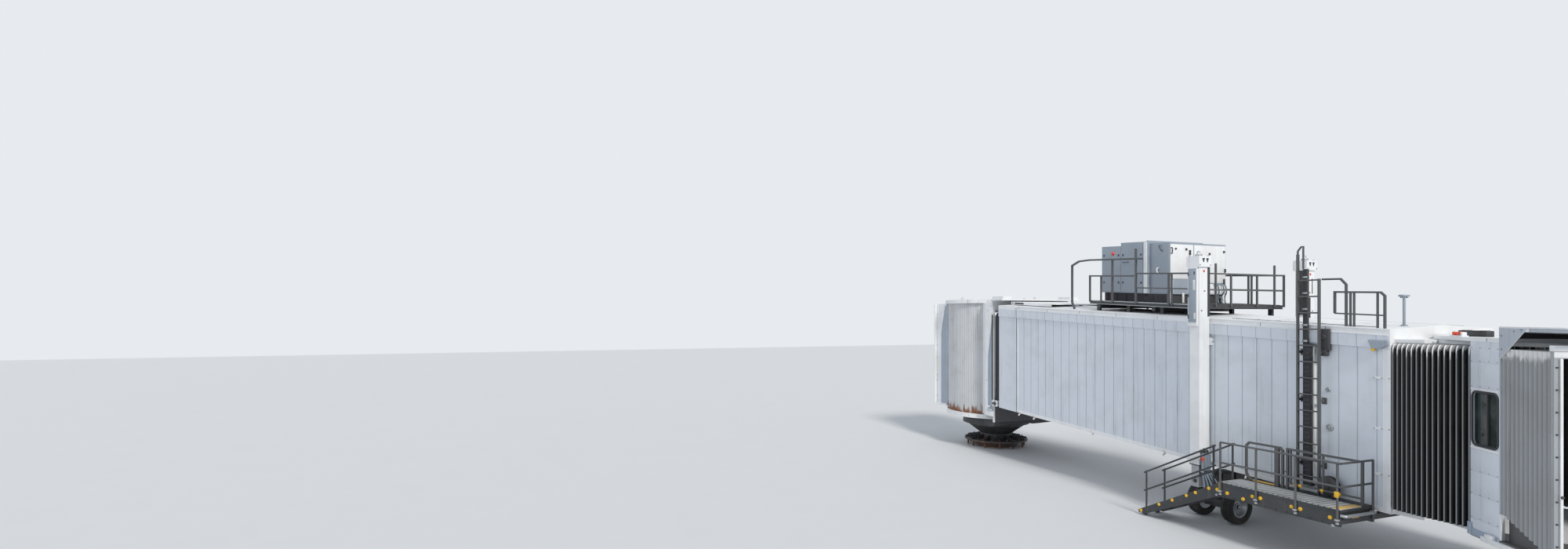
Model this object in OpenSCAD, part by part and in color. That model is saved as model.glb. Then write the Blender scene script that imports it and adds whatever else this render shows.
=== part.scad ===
// Two-tunnel apron-drive jet bridge, parked low and fully drawn in.
// Millimetres. Origin: centre of the pedestal's foot on the ground.
// +X runs along the tunnel from the rotunda to the cab, -Y is the side with the service deck, +Z is up.

/* [Tunnel] */
// Outside width of the outer tunnel
tunnel_w = 3000; // [2700:10:3300]
// Outside height of the outer tunnel, measured plumb
tunnel_h = 3000; // [2850:10:3200]
// Fall of floor and roof towards the cab, in degrees
slope = 3; // [1:0.25:4]
// Where the tunnel starts beside the portal
tunnel_x0 = 2120; // [2080:5:2140]
// Height of the tunnel's underside where it starts
tunnel_z0 = 1590; // [1570:5:1610]
// Where the outer tunnel starts
outer_x0 = 2960; // [2950:5:3200]
// Where the outer tunnel ends in its plumb end frame
outer_x1 = 12620; // [12560:10:12680]
// Where the inner tunnel ends inside the outer one
inner_x1 = 11500; // [10500:10:11800]
// Thickness of the outer tunnel's walls
wall_t = 60; // [40:5:80]
// Thickness of the outer tunnel's floor
floor_t = 90; // [70:5:120]
// Thickness of the outer tunnel's roof
roof_t = 60; // [40:5:80]
// Running gap between inner and outer tunnel
tunnel_gap = 40; // [20:5:60]
// Thickness of the inner tunnel's walls and roof
inner_t = 50; // [30:5:70]
// Thickness of the inner tunnel's floor
inner_floor_t = 80; // [60:5:100]
// Pitch of the upright grooves between wall panels
rib_pitch = 305; // [200:5:450]
// Width of a groove between wall panels
groove_w = 22; // [8:1:40]
// Depth of a groove between wall panels
groove_d = 12; // [4:1:20]
// How far the roof's edge trim stands out over the walls
trim_out = 25; // [10:1:40]
// How far the roof's edge trim hangs down over the walls
trim_h = 110; // [40:5:160]
// Height of the roof's edge over the wall's top line
edge_h = 170; // [60:5:220]
// Height of the roof's ridge over the wall's top line
ridge_h = 240; // [80:5:320]

/* [Rotunda] */
// Radius of the slatted curtains
drum_r = 1600; // [1560:5:1640]
// Thickness of a curtain slat
slat_t = 22; // [12:1:30]
// Slats in each curtain
slat_count = 22; // [12:1:30]
// Angle from the tunnel's line at which the curtains end beside the portal
curtain_edge = 52; // [48:1:58]
// Angle from the corridor's line at which the curtains end
corridor_edge = 61; // [58:1:66]
// Height of the rotunda's walking floor
floor_z = 1780; // [1760:5:1795]
// Underside of the rim that carries the curtains
rim_z = 1080; // [1060:5:1100]
// Height of the rim under the curtains
rim_h = 140; // [100:5:160]
// Underside of the rotunda's roof
roof_z = 4850; // [4820:5:4880]
// Thickness of the rotunda's roof at its rim
roof_rim_h = 120; // [100:5:160]
// Rise of the rotunda's roof from its rim to its middle
roof_rise = 70; // [20:5:120]
// How far the roof's rim stands out past the curtains
roof_over = 100; // [60:5:104]
// Where the corridor frame meets the building
corridor_x = -1400; // [-1460:10:-1340]
// Clear width between the corridor frame's cheeks
passage_w = 2800; // [2700:10:2820]

/* [Pedestal] */
// Radius of the pedestal's foot plate
foot_r = 1040; // [1000:10:1080]
// Thickness of the pedestal's foot plate
foot_t = 55; // [40:5:80]
// Height of the grout pad and the levelling feet under the foot plate
pad_h = 190; // [150:5:220]
// Radius of the grout pad
pad_r = 700; // [600:10:760]
// Radius of the bolt circle in the foot
bolt_circle_r = 930; // [880:5:960]
// Number of anchor bolt holes
bolt_count = 12; // [8:1:16]
// Radius of an anchor bolt hole
bolt_hole_r = 18; // [12:1:24]
// Radius of the pedestal's column
column_r = 520; // [460:10:560]
// Top of the pedestal's cone
cone_z = 780; // [760:5:800]
// Radius of the cone's top rim
cone_r = 950; // [900:10:1000]
// Radius of the fixed spindle that the turntable turns on
spindle_r = 600; // [500:10:640]

/* [Portal] */
// Face of the portal on the tunnel's side
portal_x = 1790; // [1785:5:1800]
// Thickness of the portal's side cheeks
cheek_t = 70; // [50:5:90]
// Where the flat part of a cheek starts
jamb_x = 1430; // [1400:10:1500]
// Foot of the cheeks
jamb_z = 1270; // [1240:5:1290]
// Gap between turntable and spindle, and under the rim
turn_gap = 6; // [5:1:10]
// Height of the pitch pins
pitch_z = 1690; // [1680:5:1700]
// Where the pitch pins lie along the tunnel
pitch_x = 1900; // [1890:5:1910]
// Radius of a pitch pin
pitch_pin_r = 45; // [30:1:60]

/* [Wheel carriage] */
// Where the lift columns stand along the tunnel
lift_x = 9150; // [8900:10:9300]
// Size of a lift column along the tunnel
column_a = 230; // [200:5:280]
// Size of a lift column across the tunnel
column_b = 300; // [260:5:340]
// Wall of a lift column
column_wall = 15; // [10:1:20]
// Top of the lift columns
column_top = 5720; // [5400:10:5900]
// Running gap between lift column and leg
leg_gap = 10; // [6:1:15]
// Underside of the carriage beam
beam_z = 760; // [750:5:780]
// Depth of the carriage beam
beam_h = 250; // [220:5:260]
// Radius of the wheels
wheel_r = 360; // [330:5:370]
// Width of a tyre
tyre_w = 240; // [180:5:260]
// Distance from a truck's kingpin to the middle of each tyre
wheel_off = 400; // [390:5:420]
// Distance of the kingpins from the tunnel's middle
truck_y = 1100; // [1050:5:1110]

/* [Service deck] */
// Top of the service deck
deck_z = 1140; // [1100:5:1150]
// Where the service deck starts, at the stair
deck_x0 = 10200; // [10150:10:10300]
// Where the service deck ends
deck_x1 = 12400; // [12200:10:12450]
// Outer edge of the service deck
deck_y = -2460; // [-2540:5:-2440]
// Depth of the deck's edge beam
deck_beam_h = 280; // [220:5:300]
// Height of the deck's railing
deck_rail_h = 800; // [700:10:1000]
// Run of the service stair
stair_run = 1940; // [1700:10:2000]
// Number of treads
tread_count = 5; // [4:1:6]
// Radius of the railing tubes
rail_r = 19; // [15:1:24]
// Where the wall ladder stands
ladder_x = 11370; // [11200:10:11500]
// Width of the wall ladder
ladder_w = 380; // [320:5:420]
// Distance between the ladder's rungs
rung_pitch = 305; // [250:5:350]

/* [Roof] */
// Height of the roof platform over the wall's top line
walk_h = 445; // [420:5:480]
// Thickness of the roof platform
walk_t = 90; // [60:5:120]
// Where the roof platform starts
walk_x0 = 5630; // [5500:10:5700]
// Where the roof platform ends
walk_x1 = 8900; // [8850:10:8980]
// Half the width of the roof platform
walk_y = 1300; // [1250:10:1350]
// Where the air handler starts
air_x0 = 5720; // [5680:10:5760]
// Length of the air handler
air_l = 2000; // [1800:10:2100]
// Width of the air handler
air_w = 1960; // [1800:10:2050]
// Height of the air handler over its base
air_h = 1240; // [1100:10:1300]
// Height of the air handler's base
air_base_h = 215; // [150:5:260]
// Height of the low railing on the roof platform
low_rail_h = 640; // [550:10:750]
// Height of the tall railing on the roof platform
tall_rail_h = 1060; // [950:10:1150]

/* [Cab] */
// Where the cab's pivot lies
cab_x = 14000; // [13980:5:14020]
// How far the cab is turned towards the service side, in degrees
cab_yaw = 35; // [25:1:40]
// Half the width of the cab
cab_half = 1450; // [1430:5:1470]
// Radius of the round floor that the cab turns about
round_r = 1400; // [1380:5:1405]
// Back edge of the cab's side panels, measured from the pivot
cab_back = 705; // [690:5:780]
// Front edge of the cab's side panels, measured from the pivot
cab_front = 1325; // [1300:5:1400]
// Front edge of the cab's floor, measured from the pivot
bumper_a = 2150; // [2100:5:2180]
// Gap between the cab and the round floor
cab_gap = 8; // [6:1:12]
// Thickness of the cab's side panels
panel_t = 60; // [40:5:80]
// Front of the closure's frame, measured from the pivot
closure_a = 2310; // [2290:5:2350]
// Length of the hood past the cab's front frame
hood_l = 1260; // [1100:10:1300]

/* [Hidden] */
$fn = 64;

// Gap at which a piece lies against what carries or guides it
seat_gap = 0.3;
// End of the curtain beside the portal, on its middle line
end_x = drum_r * cos(curtain_edge);
end_y = drum_r * sin(curtain_edge);
half_w = tunnel_w / 2;
inner_half = half_w - wall_t - tunnel_gap;
fall = tan(slope);
// Heights above the tunnel's underside
outer_ceiling = tunnel_h - roof_t;
inner_low = floor_t + tunnel_gap;
inner_top = outer_ceiling - tunnel_gap;
column_mid_y = half_w + trim_out + 15 + column_b / 2;
stair_top_x = deck_x0 - 12;
stair_foot_x = deck_x0 - stair_run;
stair_in_y = -(column_mid_y + column_b / 2) - 50;
hinge_x = deck_x0 - 45;
hinge_z = deck_z - deck_beam_h + 20;
hinge_r = 20;
skid_x0 = 9200;
skid_y = 1150;
collar_x1 = outer_x0 - tunnel_gap;
frame_depth = 120;
cab_pin_r = 60;
thrust_r = 150;
cab_floor_z = tunnel_z0 - (outer_x1 - tunnel_x0) * fall + floor_t;
canopy_z = cab_floor_z - floor_t + outer_ceiling;
rim_top = rim_z + rim_h;
foot_z = pad_h + foot_t;
// Radius of the rotunda's floor disc, and of the rim that carries the curtains
disc_r = drum_r - 100;
rim_r = drum_r + slat_t + 20;
leg_a = column_a - 2 * (column_wall + leg_gap);
leg_b = column_b - 2 * (column_wall + leg_gap);
pin_z = beam_z + beam_h / 2;
level_pin_r = 40;
axle_r = 42;

// Underside of the tunnel at a place along it
function low_z(x) = tunnel_z0 - (x - tunnel_x0) * fall;
function roof_top(x) = low_z(x) + tunnel_h;

// A slab that follows the tunnel's slope, with plumb ends
module sloped(x0, x1, from, to, y0, y1) {
    translate([0, y1, 0])
        rotate([90, 0, 0])
            linear_extrude(height = y1 - y0)
                polygon([
                    [x0, low_z(x0) + from], [x1, low_z(x1) + from],
                    [x1, low_z(x1) + to], [x0, low_z(x0) + to]
                ]);
}

module block(x0, x1, y0, y1, z0, z1) {
    translate([x0, y0, z0])
        cube([x1 - x0, y1 - y0, z1 - z0]);
}

// Unit vector across the line from a to b
function across(a, b) = [a[1] - b[1], b[0] - a[0]] / norm(b - a);

// Corner i of a path p, moved r to the side
function beside(p, i, r) =
    i == 0 ? p[0] + r * across(p[0], p[1])
    : i == len(p) - 1 ? p[i] + r * across(p[i - 1], p[i])
    : let (m = across(p[i - 1], p[i]) + across(p[i], p[i + 1])) p[i] + m * 2 * r / (m * m);

// A bar bent through [x, z] points in the plane at y; r and t are half its width and half its thickness
module bent_bar(points, r, y, t) {
    n = len(points) - 1;
    translate([0, y + t, 0])
        rotate([90, 0, 0])
            linear_extrude(height = 2 * t)
                polygon(concat(
                    [for (i = [0:n]) beside(points, i, r)],
                    [for (i = [n:-1:0]) beside(points, i, -r)]
                ));
}

// A bar with round section between two points
module rod(a, b, r) {
    d = b - a;
    len = norm(d);
    translate(a)
        rotate([0, acos(d[2] / len), atan2(d[1], d[0])])
            cylinder(h = len, r = r, $fn = 16);
}

// Places its children in the cab's own frame: first axis ahead, second to the left
module in_cab() {
    translate([cab_x, 0, 0])
        rotate([0, 0, -cab_yaw])
            children();
}

// Rotunda, fixed to the building

module pedestal() {
    gusset_h = 130;
    gusset_t = 20;
    level_r = 30;
    color("dimgray") {
        difference() {
            rotate_extrude($fn = 96)
                polygon([
                    [0, 0], [pad_r, 0], [pad_r, pad_h], [foot_r, pad_h], [foot_r, foot_z], [column_r, foot_z],
                    [column_r, cone_z - 360], [cone_r, cone_z - 50], [cone_r, cone_z], [0, cone_z]
                ]);
            for (k = [0:bolt_count - 1])
                rotate([0, 0, (k + 0.5) * 360 / bolt_count])
                    translate([bolt_circle_r, 0, pad_h - 1])
                        cylinder(h = foot_t + 2, r = bolt_hole_r, $fn = 32);
        }
        // A gusset and a levelling foot between each two bolts
        for (k = [0:bolt_count - 1])
            rotate([0, 0, k * 360 / bolt_count])
                translate([bolt_circle_r, 0, 0])
                    cylinder(h = pad_h + 1, r = level_r, $fn = 24);
        for (k = [0:bolt_count - 1])
            rotate([0, 0, k * 360 / bolt_count])
                translate([0, gusset_t / 2, foot_z])
                    rotate([90, 0, 0])
                        linear_extrude(height = gusset_t)
                            polygon([
                                [column_r - 5, -1], [foot_r - 30, -1], [foot_r - 30, 40],
                                [column_r - 5, gusset_h]
                            ]);
    }
}

module rotunda_floor() {
    color("gainsboro")
        difference() {
            rotate_extrude($fn = 360)
                polygon([
                    [0, cone_z + seat_gap], [spindle_r, cone_z + seat_gap], [spindle_r, rim_z],
                    [rim_r, rim_z], [rim_r, rim_top], [disc_r, rim_top], [disc_r, floor_z], [0, floor_z]
                ]);
            behind_corridor_face();
        }
}

// What lies on the building's side of the corridor's face
module behind_corridor_face() {
    block(corridor_x - 1000, corridor_x, -2500, 2500, 0, roof_z + 1000);
}

module rotunda_roof() {
    r = drum_r + roof_over;
    color("whitesmoke")
        difference() {
            rotate_extrude($fn = 360)
                polygon([
                    [0, roof_z], [r, roof_z], [r, roof_z + roof_rim_h],
                    [r - 80, roof_z + roof_rim_h], [r - 80, roof_z + roof_rim_h - 20],
                    [0, roof_z + roof_rim_h + roof_rise - 20]
                ]);
            behind_corridor_face();
        }
}

module corridor_frame() {
    cheek = 80;
    foot = 1300;
    head_h = 300;
    panel_d = 20;
    edge_x = -disc_r * cos(corridor_edge) - 60;
    strip_x = corridor_x + 270;
    y_in = passage_w / 2;
    top = roof_z - seat_gap;
    color("whitesmoke")
        difference() {
            union() {
                for (s = [-1, 1])
                    block(corridor_x, edge_x, s > 0 ? y_in : -y_in - cheek, s > 0 ? y_in + cheek : -y_in, foot, top);
                // Floor of the passage, which ends round the rotunda's disc
                block(corridor_x, edge_x, -y_in - 1, y_in + 1, foot + 200, floor_z);
                // Head of the frame
                block(corridor_x, corridor_x + 120, -y_in - 1, y_in + 1, top - head_h, top);
                // Flange against the building
                difference() {
                    block(corridor_x, corridor_x + 40, -y_in - 180, y_in + 180, foot, top);
                    block(corridor_x - 1, corridor_x + 41, -y_in, y_in, floor_z, top - head_h);
                }
            }
            translate([0, 0, foot - 1])
                cylinder(h = floor_z - foot + 2, r = disc_r + seat_gap, $fn = 360);
            // Sunk panel in each cheek
            for (s = [-1, 1])
                translate([0, s * (y_in + cheek) + panel_d, 0])
                    rotate([90, 0, 0])
                        linear_extrude(height = 2 * panel_d)
                            polygon([
                                [strip_x, foot + 60], [edge_x + 10, foot + 60], [edge_x + 10, top - 60],
                                [edge_x - 80, top - 60], [strip_x, top - 1050]
                            ]);
        }
}

// One curtain as a ring sector with a fold line between its slats
module curtain() {
    from = curtain_edge;
    to = 180 - corridor_edge;
    step = (to - from) / slat_count;
    r_in = drum_r - slat_t / 2;
    r_out = drum_r + slat_t / 2;
    outer = [for (k = [0:slat_count - 1]) each [
        [from + k * step + 0.35, r_out], [from + (k + 0.5) * step, r_out + 4],
        [from + (k + 1) * step - 0.35, r_out], [from + (k + 1) * step, r_out - 8]
    ]];
    inner = [for (k = [slat_count:-1:0]) [from + k * step, r_in]];
    translate([0, 0, rim_top + seat_gap])
        linear_extrude(height = roof_z - rim_top - 2 * seat_gap)
            polygon([for (p = concat(outer, inner)) [p[1] * cos(p[0]), p[1] * sin(p[0])]]);
}

module slat_curtains() {
    color("silver") {
        curtain();
        mirror([0, 1, 0])
            curtain();
    }
}

// Portal, which swings about the pedestal

module turntable() {
    z0 = cone_z + seat_gap;
    z1 = rim_z - turn_gap;
    arm_y = 850;
    arm_w = 220;
    sill_h = 90;
    color("dimgray")
        difference() {
            union() {
                translate([0, 0, z0])
                    cylinder(h = z1 - z0, r = cone_r + 150, $fn = 128);
                // Tapered arms, which carry the sill under the portal
                for (s = [-1, 1])
                    translate([0, s * arm_y + arm_w / 2, 0])
                        rotate([90, 0, 0])
                            linear_extrude(height = arm_w)
                                polygon([
                                    [spindle_r + 10, z0 + 20], [cone_r, z0 + 20], [portal_x, z1 - sill_h],
                                    [portal_x, z1], [spindle_r + 10, z1]
                                ]);
                block(portal_x - 130, portal_x, -half_w + cheek_t + seat_gap, half_w - cheek_t - seat_gap, z1 - sill_h, z1);
            }
            translate([0, 0, z0 - 1])
                cylinder(h = z1 - z0 + 2, r = spindle_r + turn_gap, $fn = 128);
        }
}

// Plan of a cheek: slantwise from the curtain's end, then flat beside the portal
module cheek_plan(inset) {
    polygon([
        [end_x - 20, end_y - 38 - inset], [end_x + 40, end_y + 40], [jamb_x, half_w],
        [portal_x, half_w], [portal_x, half_w - cheek_t], [jamb_x + 22, half_w - cheek_t],
        [end_x + 65, end_y - 35]
    ]);
}

module portal_frame() {
    y_in = passage_w / 2;
    x_in = drum_r + roof_over + 20;
    lug_x = pitch_x + pitch_pin_r + 55;
    panel_d = 25;
    head_z0 = roof_z - 240;
    head_z1 = roof_z + 60;
    color("whitesmoke")
        difference() {
            union() {
                for (s = [0, 1])
                    mirror([0, s, 0]) {
                        // Cheek that closes the gap between curtain and tunnel
                        difference() {
                            translate([0, 0, jamb_z])
                                linear_extrude(height = roof_z - turn_gap - jamb_z)
                                    cheek_plan(0);
                            // Sunk panel with a slanted edge
                            translate([0, half_w + panel_d, 0])
                                rotate([90, 0, 0])
                                    linear_extrude(height = 2 * panel_d)
                                        polygon([
                                            [jamb_x + 110, jamb_z + 150], [portal_x + 1, jamb_z + 150],
                                            [portal_x + 1, roof_z - 350], [jamb_x + 110, roof_z - 1730]
                                        ]);
                        }
                        // Post that stands on the turntable's sill
                        block(x_in, portal_x, y_in, half_w - cheek_t + 1, rim_z - turn_gap, head_z1);
                        block(x_in, portal_x, half_w - cheek_t, half_w, roof_z - 300, head_z1);
                        // Lug of the pitch hinge
                        block(portal_x - 5, lug_x, half_w - 40, half_w, pitch_z - 90, pitch_z + 90);
                        block(portal_x - 30, portal_x + 25, half_w - 60, half_w - 39, pitch_z - 90, pitch_z + 90);
                    }
                block(x_in, portal_x, -half_w, half_w, head_z0, head_z1);
            }
            for (s = [-1, 1])
                translate([pitch_x, s * half_w, pitch_z])
                    rotate([90, 0, 0])
                        cylinder(h = 500, r = pitch_pin_r + seat_gap, center = true, $fn = 48);
        }
}

module portal_floor() {
    floor_h = 180;
    y0 = end_y - 40;
    y1 = half_w - cheek_t - 0.5;
    x0 = end_x - 10;
    color("gray") {
        difference() {
            translate([0, 0, floor_z - floor_h])
                linear_extrude(height = floor_h)
                    polygon([
                        [x0, -y0], [end_x + 60, -y0], [jamb_x + 30, -y1], [portal_x - 75, -y1],
                        [portal_x - 75, -passage_w / 2 + seat_gap], [portal_x, -passage_w / 2 + seat_gap],
                        [portal_x, passage_w / 2 - seat_gap], [portal_x - 75, passage_w / 2 - seat_gap],
                        [portal_x - 75, y1], [jamb_x + 30, y1], [end_x + 60, y0], [x0, y0]
                    ]);
            translate([0, 0, rim_z])
                cylinder(h = 1000, r = disc_r + 10, $fn = 360);
        }
        // Beam under the sill of the tunnel
        block(portal_x - 60, portal_x, -passage_w / 2 + seat_gap, passage_w / 2 - seat_gap,
              rim_z - turn_gap + seat_gap, floor_z - floor_h + 1);
    }
}

module roof_flashing() {
    x0 = drum_r + roof_over + 20;
    z0 = roof_z + 60;
    plate_t = 40;
    apron_l = 560;
    box_w = 320;
    box_h = 90;
    box_y = half_w - box_w / 2 - 30;
    color("whitesmoke") {
        block(x0, x0 + apron_l, -half_w - 20, half_w + 20, z0, z0 + plate_t);
        for (s = [-1, 1])
            block(x0 + 20, x0 + apron_l - 20, s * box_y - box_w / 2, s * box_y + box_w / 2,
                  z0 + plate_t - 1, z0 + plate_t + box_h);
    }
}

module pitch_pins() {
    color("dimgray")
        for (s = [-1, 1])
            translate([pitch_x, s * (half_w - 75) + 95, pitch_z])
                rotate([90, 0, 0])
                    cylinder(h = 190, r = pitch_pin_r, $fn = 48);
}

// Inner tunnel, which pitches at the portal

module inner_floor() {
    ramp_l = 650;
    color("gray") {
        sloped(tunnel_x0, collar_x1, 0, inner_low + inner_floor_t, -inner_half + inner_t, inner_half - inner_t);
        sloped(collar_x1 - 1 + seat_gap, inner_x1, inner_low, inner_low + inner_floor_t, -inner_half, inner_half);
        // Skids that slide on the outer tunnel's floor
        for (s = [-1, 1])
            sloped(skid_x0, inner_x1 - 100, floor_t + seat_gap, inner_low + 1, s * skid_y - 40, s * skid_y + 40);
        // Ramp down to the outer tunnel's floor
        translate([0, inner_half, 0])
            rotate([90, 0, 0])
                linear_extrude(height = 2 * inner_half)
                    polygon([
                        [inner_x1 - 1, low_z(inner_x1) + inner_low],
                        [inner_x1 + ramp_l, low_z(inner_x1 + ramp_l) + floor_t + 5],
                        [inner_x1 + ramp_l, low_z(inner_x1 + ramp_l) + floor_t + 15],
                        [inner_x1 - 1, low_z(inner_x1) + inner_low + inner_floor_t]
                    ]);
    }
}

module inner_roof() {
    color("whitesmoke") {
        sloped(tunnel_x0, collar_x1, inner_top - inner_t, outer_ceiling + 10, -half_w - seat_gap, half_w + seat_gap);
        crowned_roof(tunnel_x0, collar_x1);
        sloped(collar_x1 - 1, inner_x1, inner_top - inner_t, inner_top, -inner_half, inner_half);
    }
}

// One side of the inner tunnel: a thick collar beside the portal, then the sliding wall
module inner_side() {
    top = inner_top - inner_t;
    difference() {
        union() {
            sloped(tunnel_x0, collar_x1 - 1, 0, top - seat_gap, inner_half - inner_t + seat_gap, half_w);
            sloped(collar_x1 - 2, inner_x1, inner_low + inner_floor_t + seat_gap, top - seat_gap,
                   inner_half - inner_t + seat_gap, inner_half);
            // Lug of the pitch hinge, inside the portal's lug
            block(pitch_x - pitch_pin_r - 40, tunnel_x0 + 5, inner_half - inner_t + seat_gap, half_w - 105,
                  pitch_z - 80, pitch_z + 80);
        }
        translate([pitch_x, half_w, pitch_z])
            rotate([90, 0, 0])
                cylinder(h = 600, r = pitch_pin_r + seat_gap, center = true, $fn = 48);
    }
}

module inner_near_wall() {
    color("whitesmoke")
        mirror([0, 1, 0])
            inner_side();
}

module inner_far_wall() {
    color("whitesmoke")
        inner_side();
}

// Rubber frame that closes the gap between portal and tunnel
module portal_seal() {
    seal_t = 30;
    y_out = inner_half + 20;
    z_top = roof_top(tunnel_x0) - 40;
    z_low = pitch_z + 110;
    color([0.12, 0.12, 0.13]) {
        x0 = portal_x + seat_gap;
        x1 = tunnel_x0 - seat_gap;
        for (s = [-1, 1])
            block(x0, x1, s > 0 ? y_out - seal_t : -y_out, s > 0 ? y_out : -y_out + seal_t, z_low, z_top);
        block(x0, x1, -y_out, y_out, z_top - seal_t, z_top);
    }
}

// Outer tunnel

module outer_floor() {
    color("gray") {
        sloped(outer_x0, outer_x1, 0, floor_t, -half_w, half_w);
        // Pads that the inner tunnel slides on
        for (s = [-1, 1])
            sloped(outer_x0 + 20, outer_x0 + 240, floor_t - 1, inner_low - seat_gap, s * skid_y - 60, s * skid_y + 60);
    }
}

// Roof with raised edges and a low ridge, cut plumb at both ends
module crowned_roof(x0, x1) {
    y = half_w + trim_out;
    over = 400;
    from = x0 - over;
    color("whitesmoke")
        intersection() {
            translate([from, 0, low_z(from)])
                rotate([0, slope, 0])
                    rotate([90, 0, 90])
                        linear_extrude(height = (x1 + over - from) / cos(slope))
                            polygon([
                                for (p = [
                                    [-y, outer_ceiling - trim_h], [-half_w - seat_gap, outer_ceiling - trim_h],
                                    [-half_w - seat_gap, outer_ceiling], [half_w + seat_gap, outer_ceiling],
                                    [half_w + seat_gap, outer_ceiling - trim_h], [y, outer_ceiling - trim_h],
                                    [y, tunnel_h + edge_h], [0, tunnel_h + ridge_h], [-y, tunnel_h + edge_h]
                                ]) [p[0], p[1] * cos(slope)]
                            ]);
            block(x0, x1, -2000, 2000, 3000, 6000);
        }
}

module outer_roof() {
    crowned_roof(outer_x0, outer_x1);
}

// One side of the outer tunnel: panels with a groove between each two
module outer_side() {
    x1 = outer_x1 - frame_depth;
    groove_n = floor((x1 - outer_x0) / rib_pitch);
    difference() {
        sloped(outer_x0, x1, floor_t + seat_gap, outer_ceiling - seat_gap, half_w - wall_t, half_w);
        for (k = [1:groove_n])
            block(outer_x0 + k * rib_pitch - groove_w / 2, outer_x0 + k * rib_pitch + groove_w / 2,
                  half_w - groove_d, half_w + 10, 0, 6000);
    }
}

module outer_near_wall() {
    color("whitesmoke")
        mirror([0, 1, 0])
            outer_side();
}

module outer_far_wall() {
    color("whitesmoke")
        outer_side();
}

// Plumb frame at the cab end
module end_frame() {
    post = 110;
    head = 150;
    x0 = outer_x1 - frame_depth;
    color("whitesmoke") {
        for (s = [-1, 1])
            sloped(x0 + seat_gap, outer_x1, floor_t + seat_gap, outer_ceiling - seat_gap,
                   s > 0 ? half_w - post : -half_w, s > 0 ? half_w : -half_w + post);
        sloped(x0 + seat_gap, outer_x1, outer_ceiling - head, outer_ceiling - seat_gap, -half_w + post - 1, half_w - post + 1);
    }
}

// Outline of the round floor and of the canopy over it
module round_end() {
    shoulder_x = 430;
    difference() {
        union() {
            translate([cab_x, 0])
                circle(r = round_r, $fn = 128);
            translate([outer_x1, -round_r])
                square([shoulder_x, 2 * round_r]);
        }
        translate([outer_x1 - 500, -2000])
            square([500 + seat_gap, 4000]);
        translate([cab_x, 0])
            circle(r = cab_pin_r + seat_gap, $fn = 48);
    }
}

module cab_platform() {
    color("gray")
        translate([0, 0, cab_floor_z - floor_t])
            linear_extrude(height = floor_t)
                round_end();
}

module cab_canopy() {
    color("whitesmoke")
        translate([0, 0, canopy_z])
            linear_extrude(height = roof_t)
                round_end();
}

module lift_column() {
    z0 = low_z(lift_x) + 20;
    y0 = column_mid_y - column_b / 2;
    head_h = 230;
    difference() {
        union() {
            block(lift_x - column_a / 2, lift_x + column_a / 2, y0, y0 + column_b, z0, column_top);
            // Head with the drive of the lift screw
            block(lift_x - column_a / 2 - 45, lift_x + column_a / 2 + 35, y0 - 20, y0 + column_b + 45,
                  column_top - head_h, column_top);
            // Brackets on the tunnel's wall
            for (z = [z0 + 60, low_z(lift_x) + outer_ceiling - trim_h - 240])
                block(lift_x - column_a / 2 - 60, lift_x + column_a / 2 + 60, half_w, y0 + 5, z, z + 160);
        }
        block(lift_x - column_a / 2 + column_wall, lift_x + column_a / 2 - column_wall,
              y0 + column_wall, y0 + column_b - column_wall, z0 - 1, column_top - 250);
    }
}

module lift_columns() {
    box_z0 = roof_top(lift_x);
    box_z1 = 5490;
    box_t = 55;
    y_out = column_mid_y + column_b / 2;
    color("white") {
        lift_column();
        mirror([0, 1, 0])
            lift_column();
        // Control box on the near column
        block(lift_x - column_a / 2, lift_x + column_a / 2 - 20, -y_out - box_t, -y_out + 1, box_z0, box_z1);
    }
}

module roof_platform() {
    foot_a = 90;
    foot_b = 70;
    foot_y = walk_y - 150;
    foot_n = 3;
    z_roof = tunnel_h + ridge_h - (ridge_h - edge_h) * (foot_y - foot_b / 2) / (half_w + trim_out) + seat_gap;
    color("dimgray") {
        sloped(walk_x0, walk_x1, tunnel_h + walk_h - walk_t, tunnel_h + walk_h, -walk_y, walk_y);
        for (k = [0:foot_n], s = [-1, 1]) {
            x = walk_x0 + 170 + k * (walk_x1 - walk_x0 - 340) / foot_n;
            sloped(x - foot_a / 2, x + foot_a / 2, z_roof, tunnel_h + walk_h - walk_t + 1,
                   s * foot_y - foot_b / 2, s * foot_y + foot_b / 2);
        }
        // Bearers under the air handler, across the tunnel
        for (x = [air_x0 + 150, air_x0 + air_l - 150])
            sloped(x - 50, x + 50, tunnel_h + ridge_h + 5, tunnel_h + walk_h - walk_t + 1, -walk_y + 60, walk_y - 60);
    }
}

// A point over the roof platform
function on_walk(x, h) = [x, roof_top(x) + walk_h + h];

// A square post on the roof platform
module walk_post(x, y, h, a) {
    block(x - a, x + a, y - a, y + a, roof_top(x) + walk_h - 40, roof_top(x) + walk_h + h);
}

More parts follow.
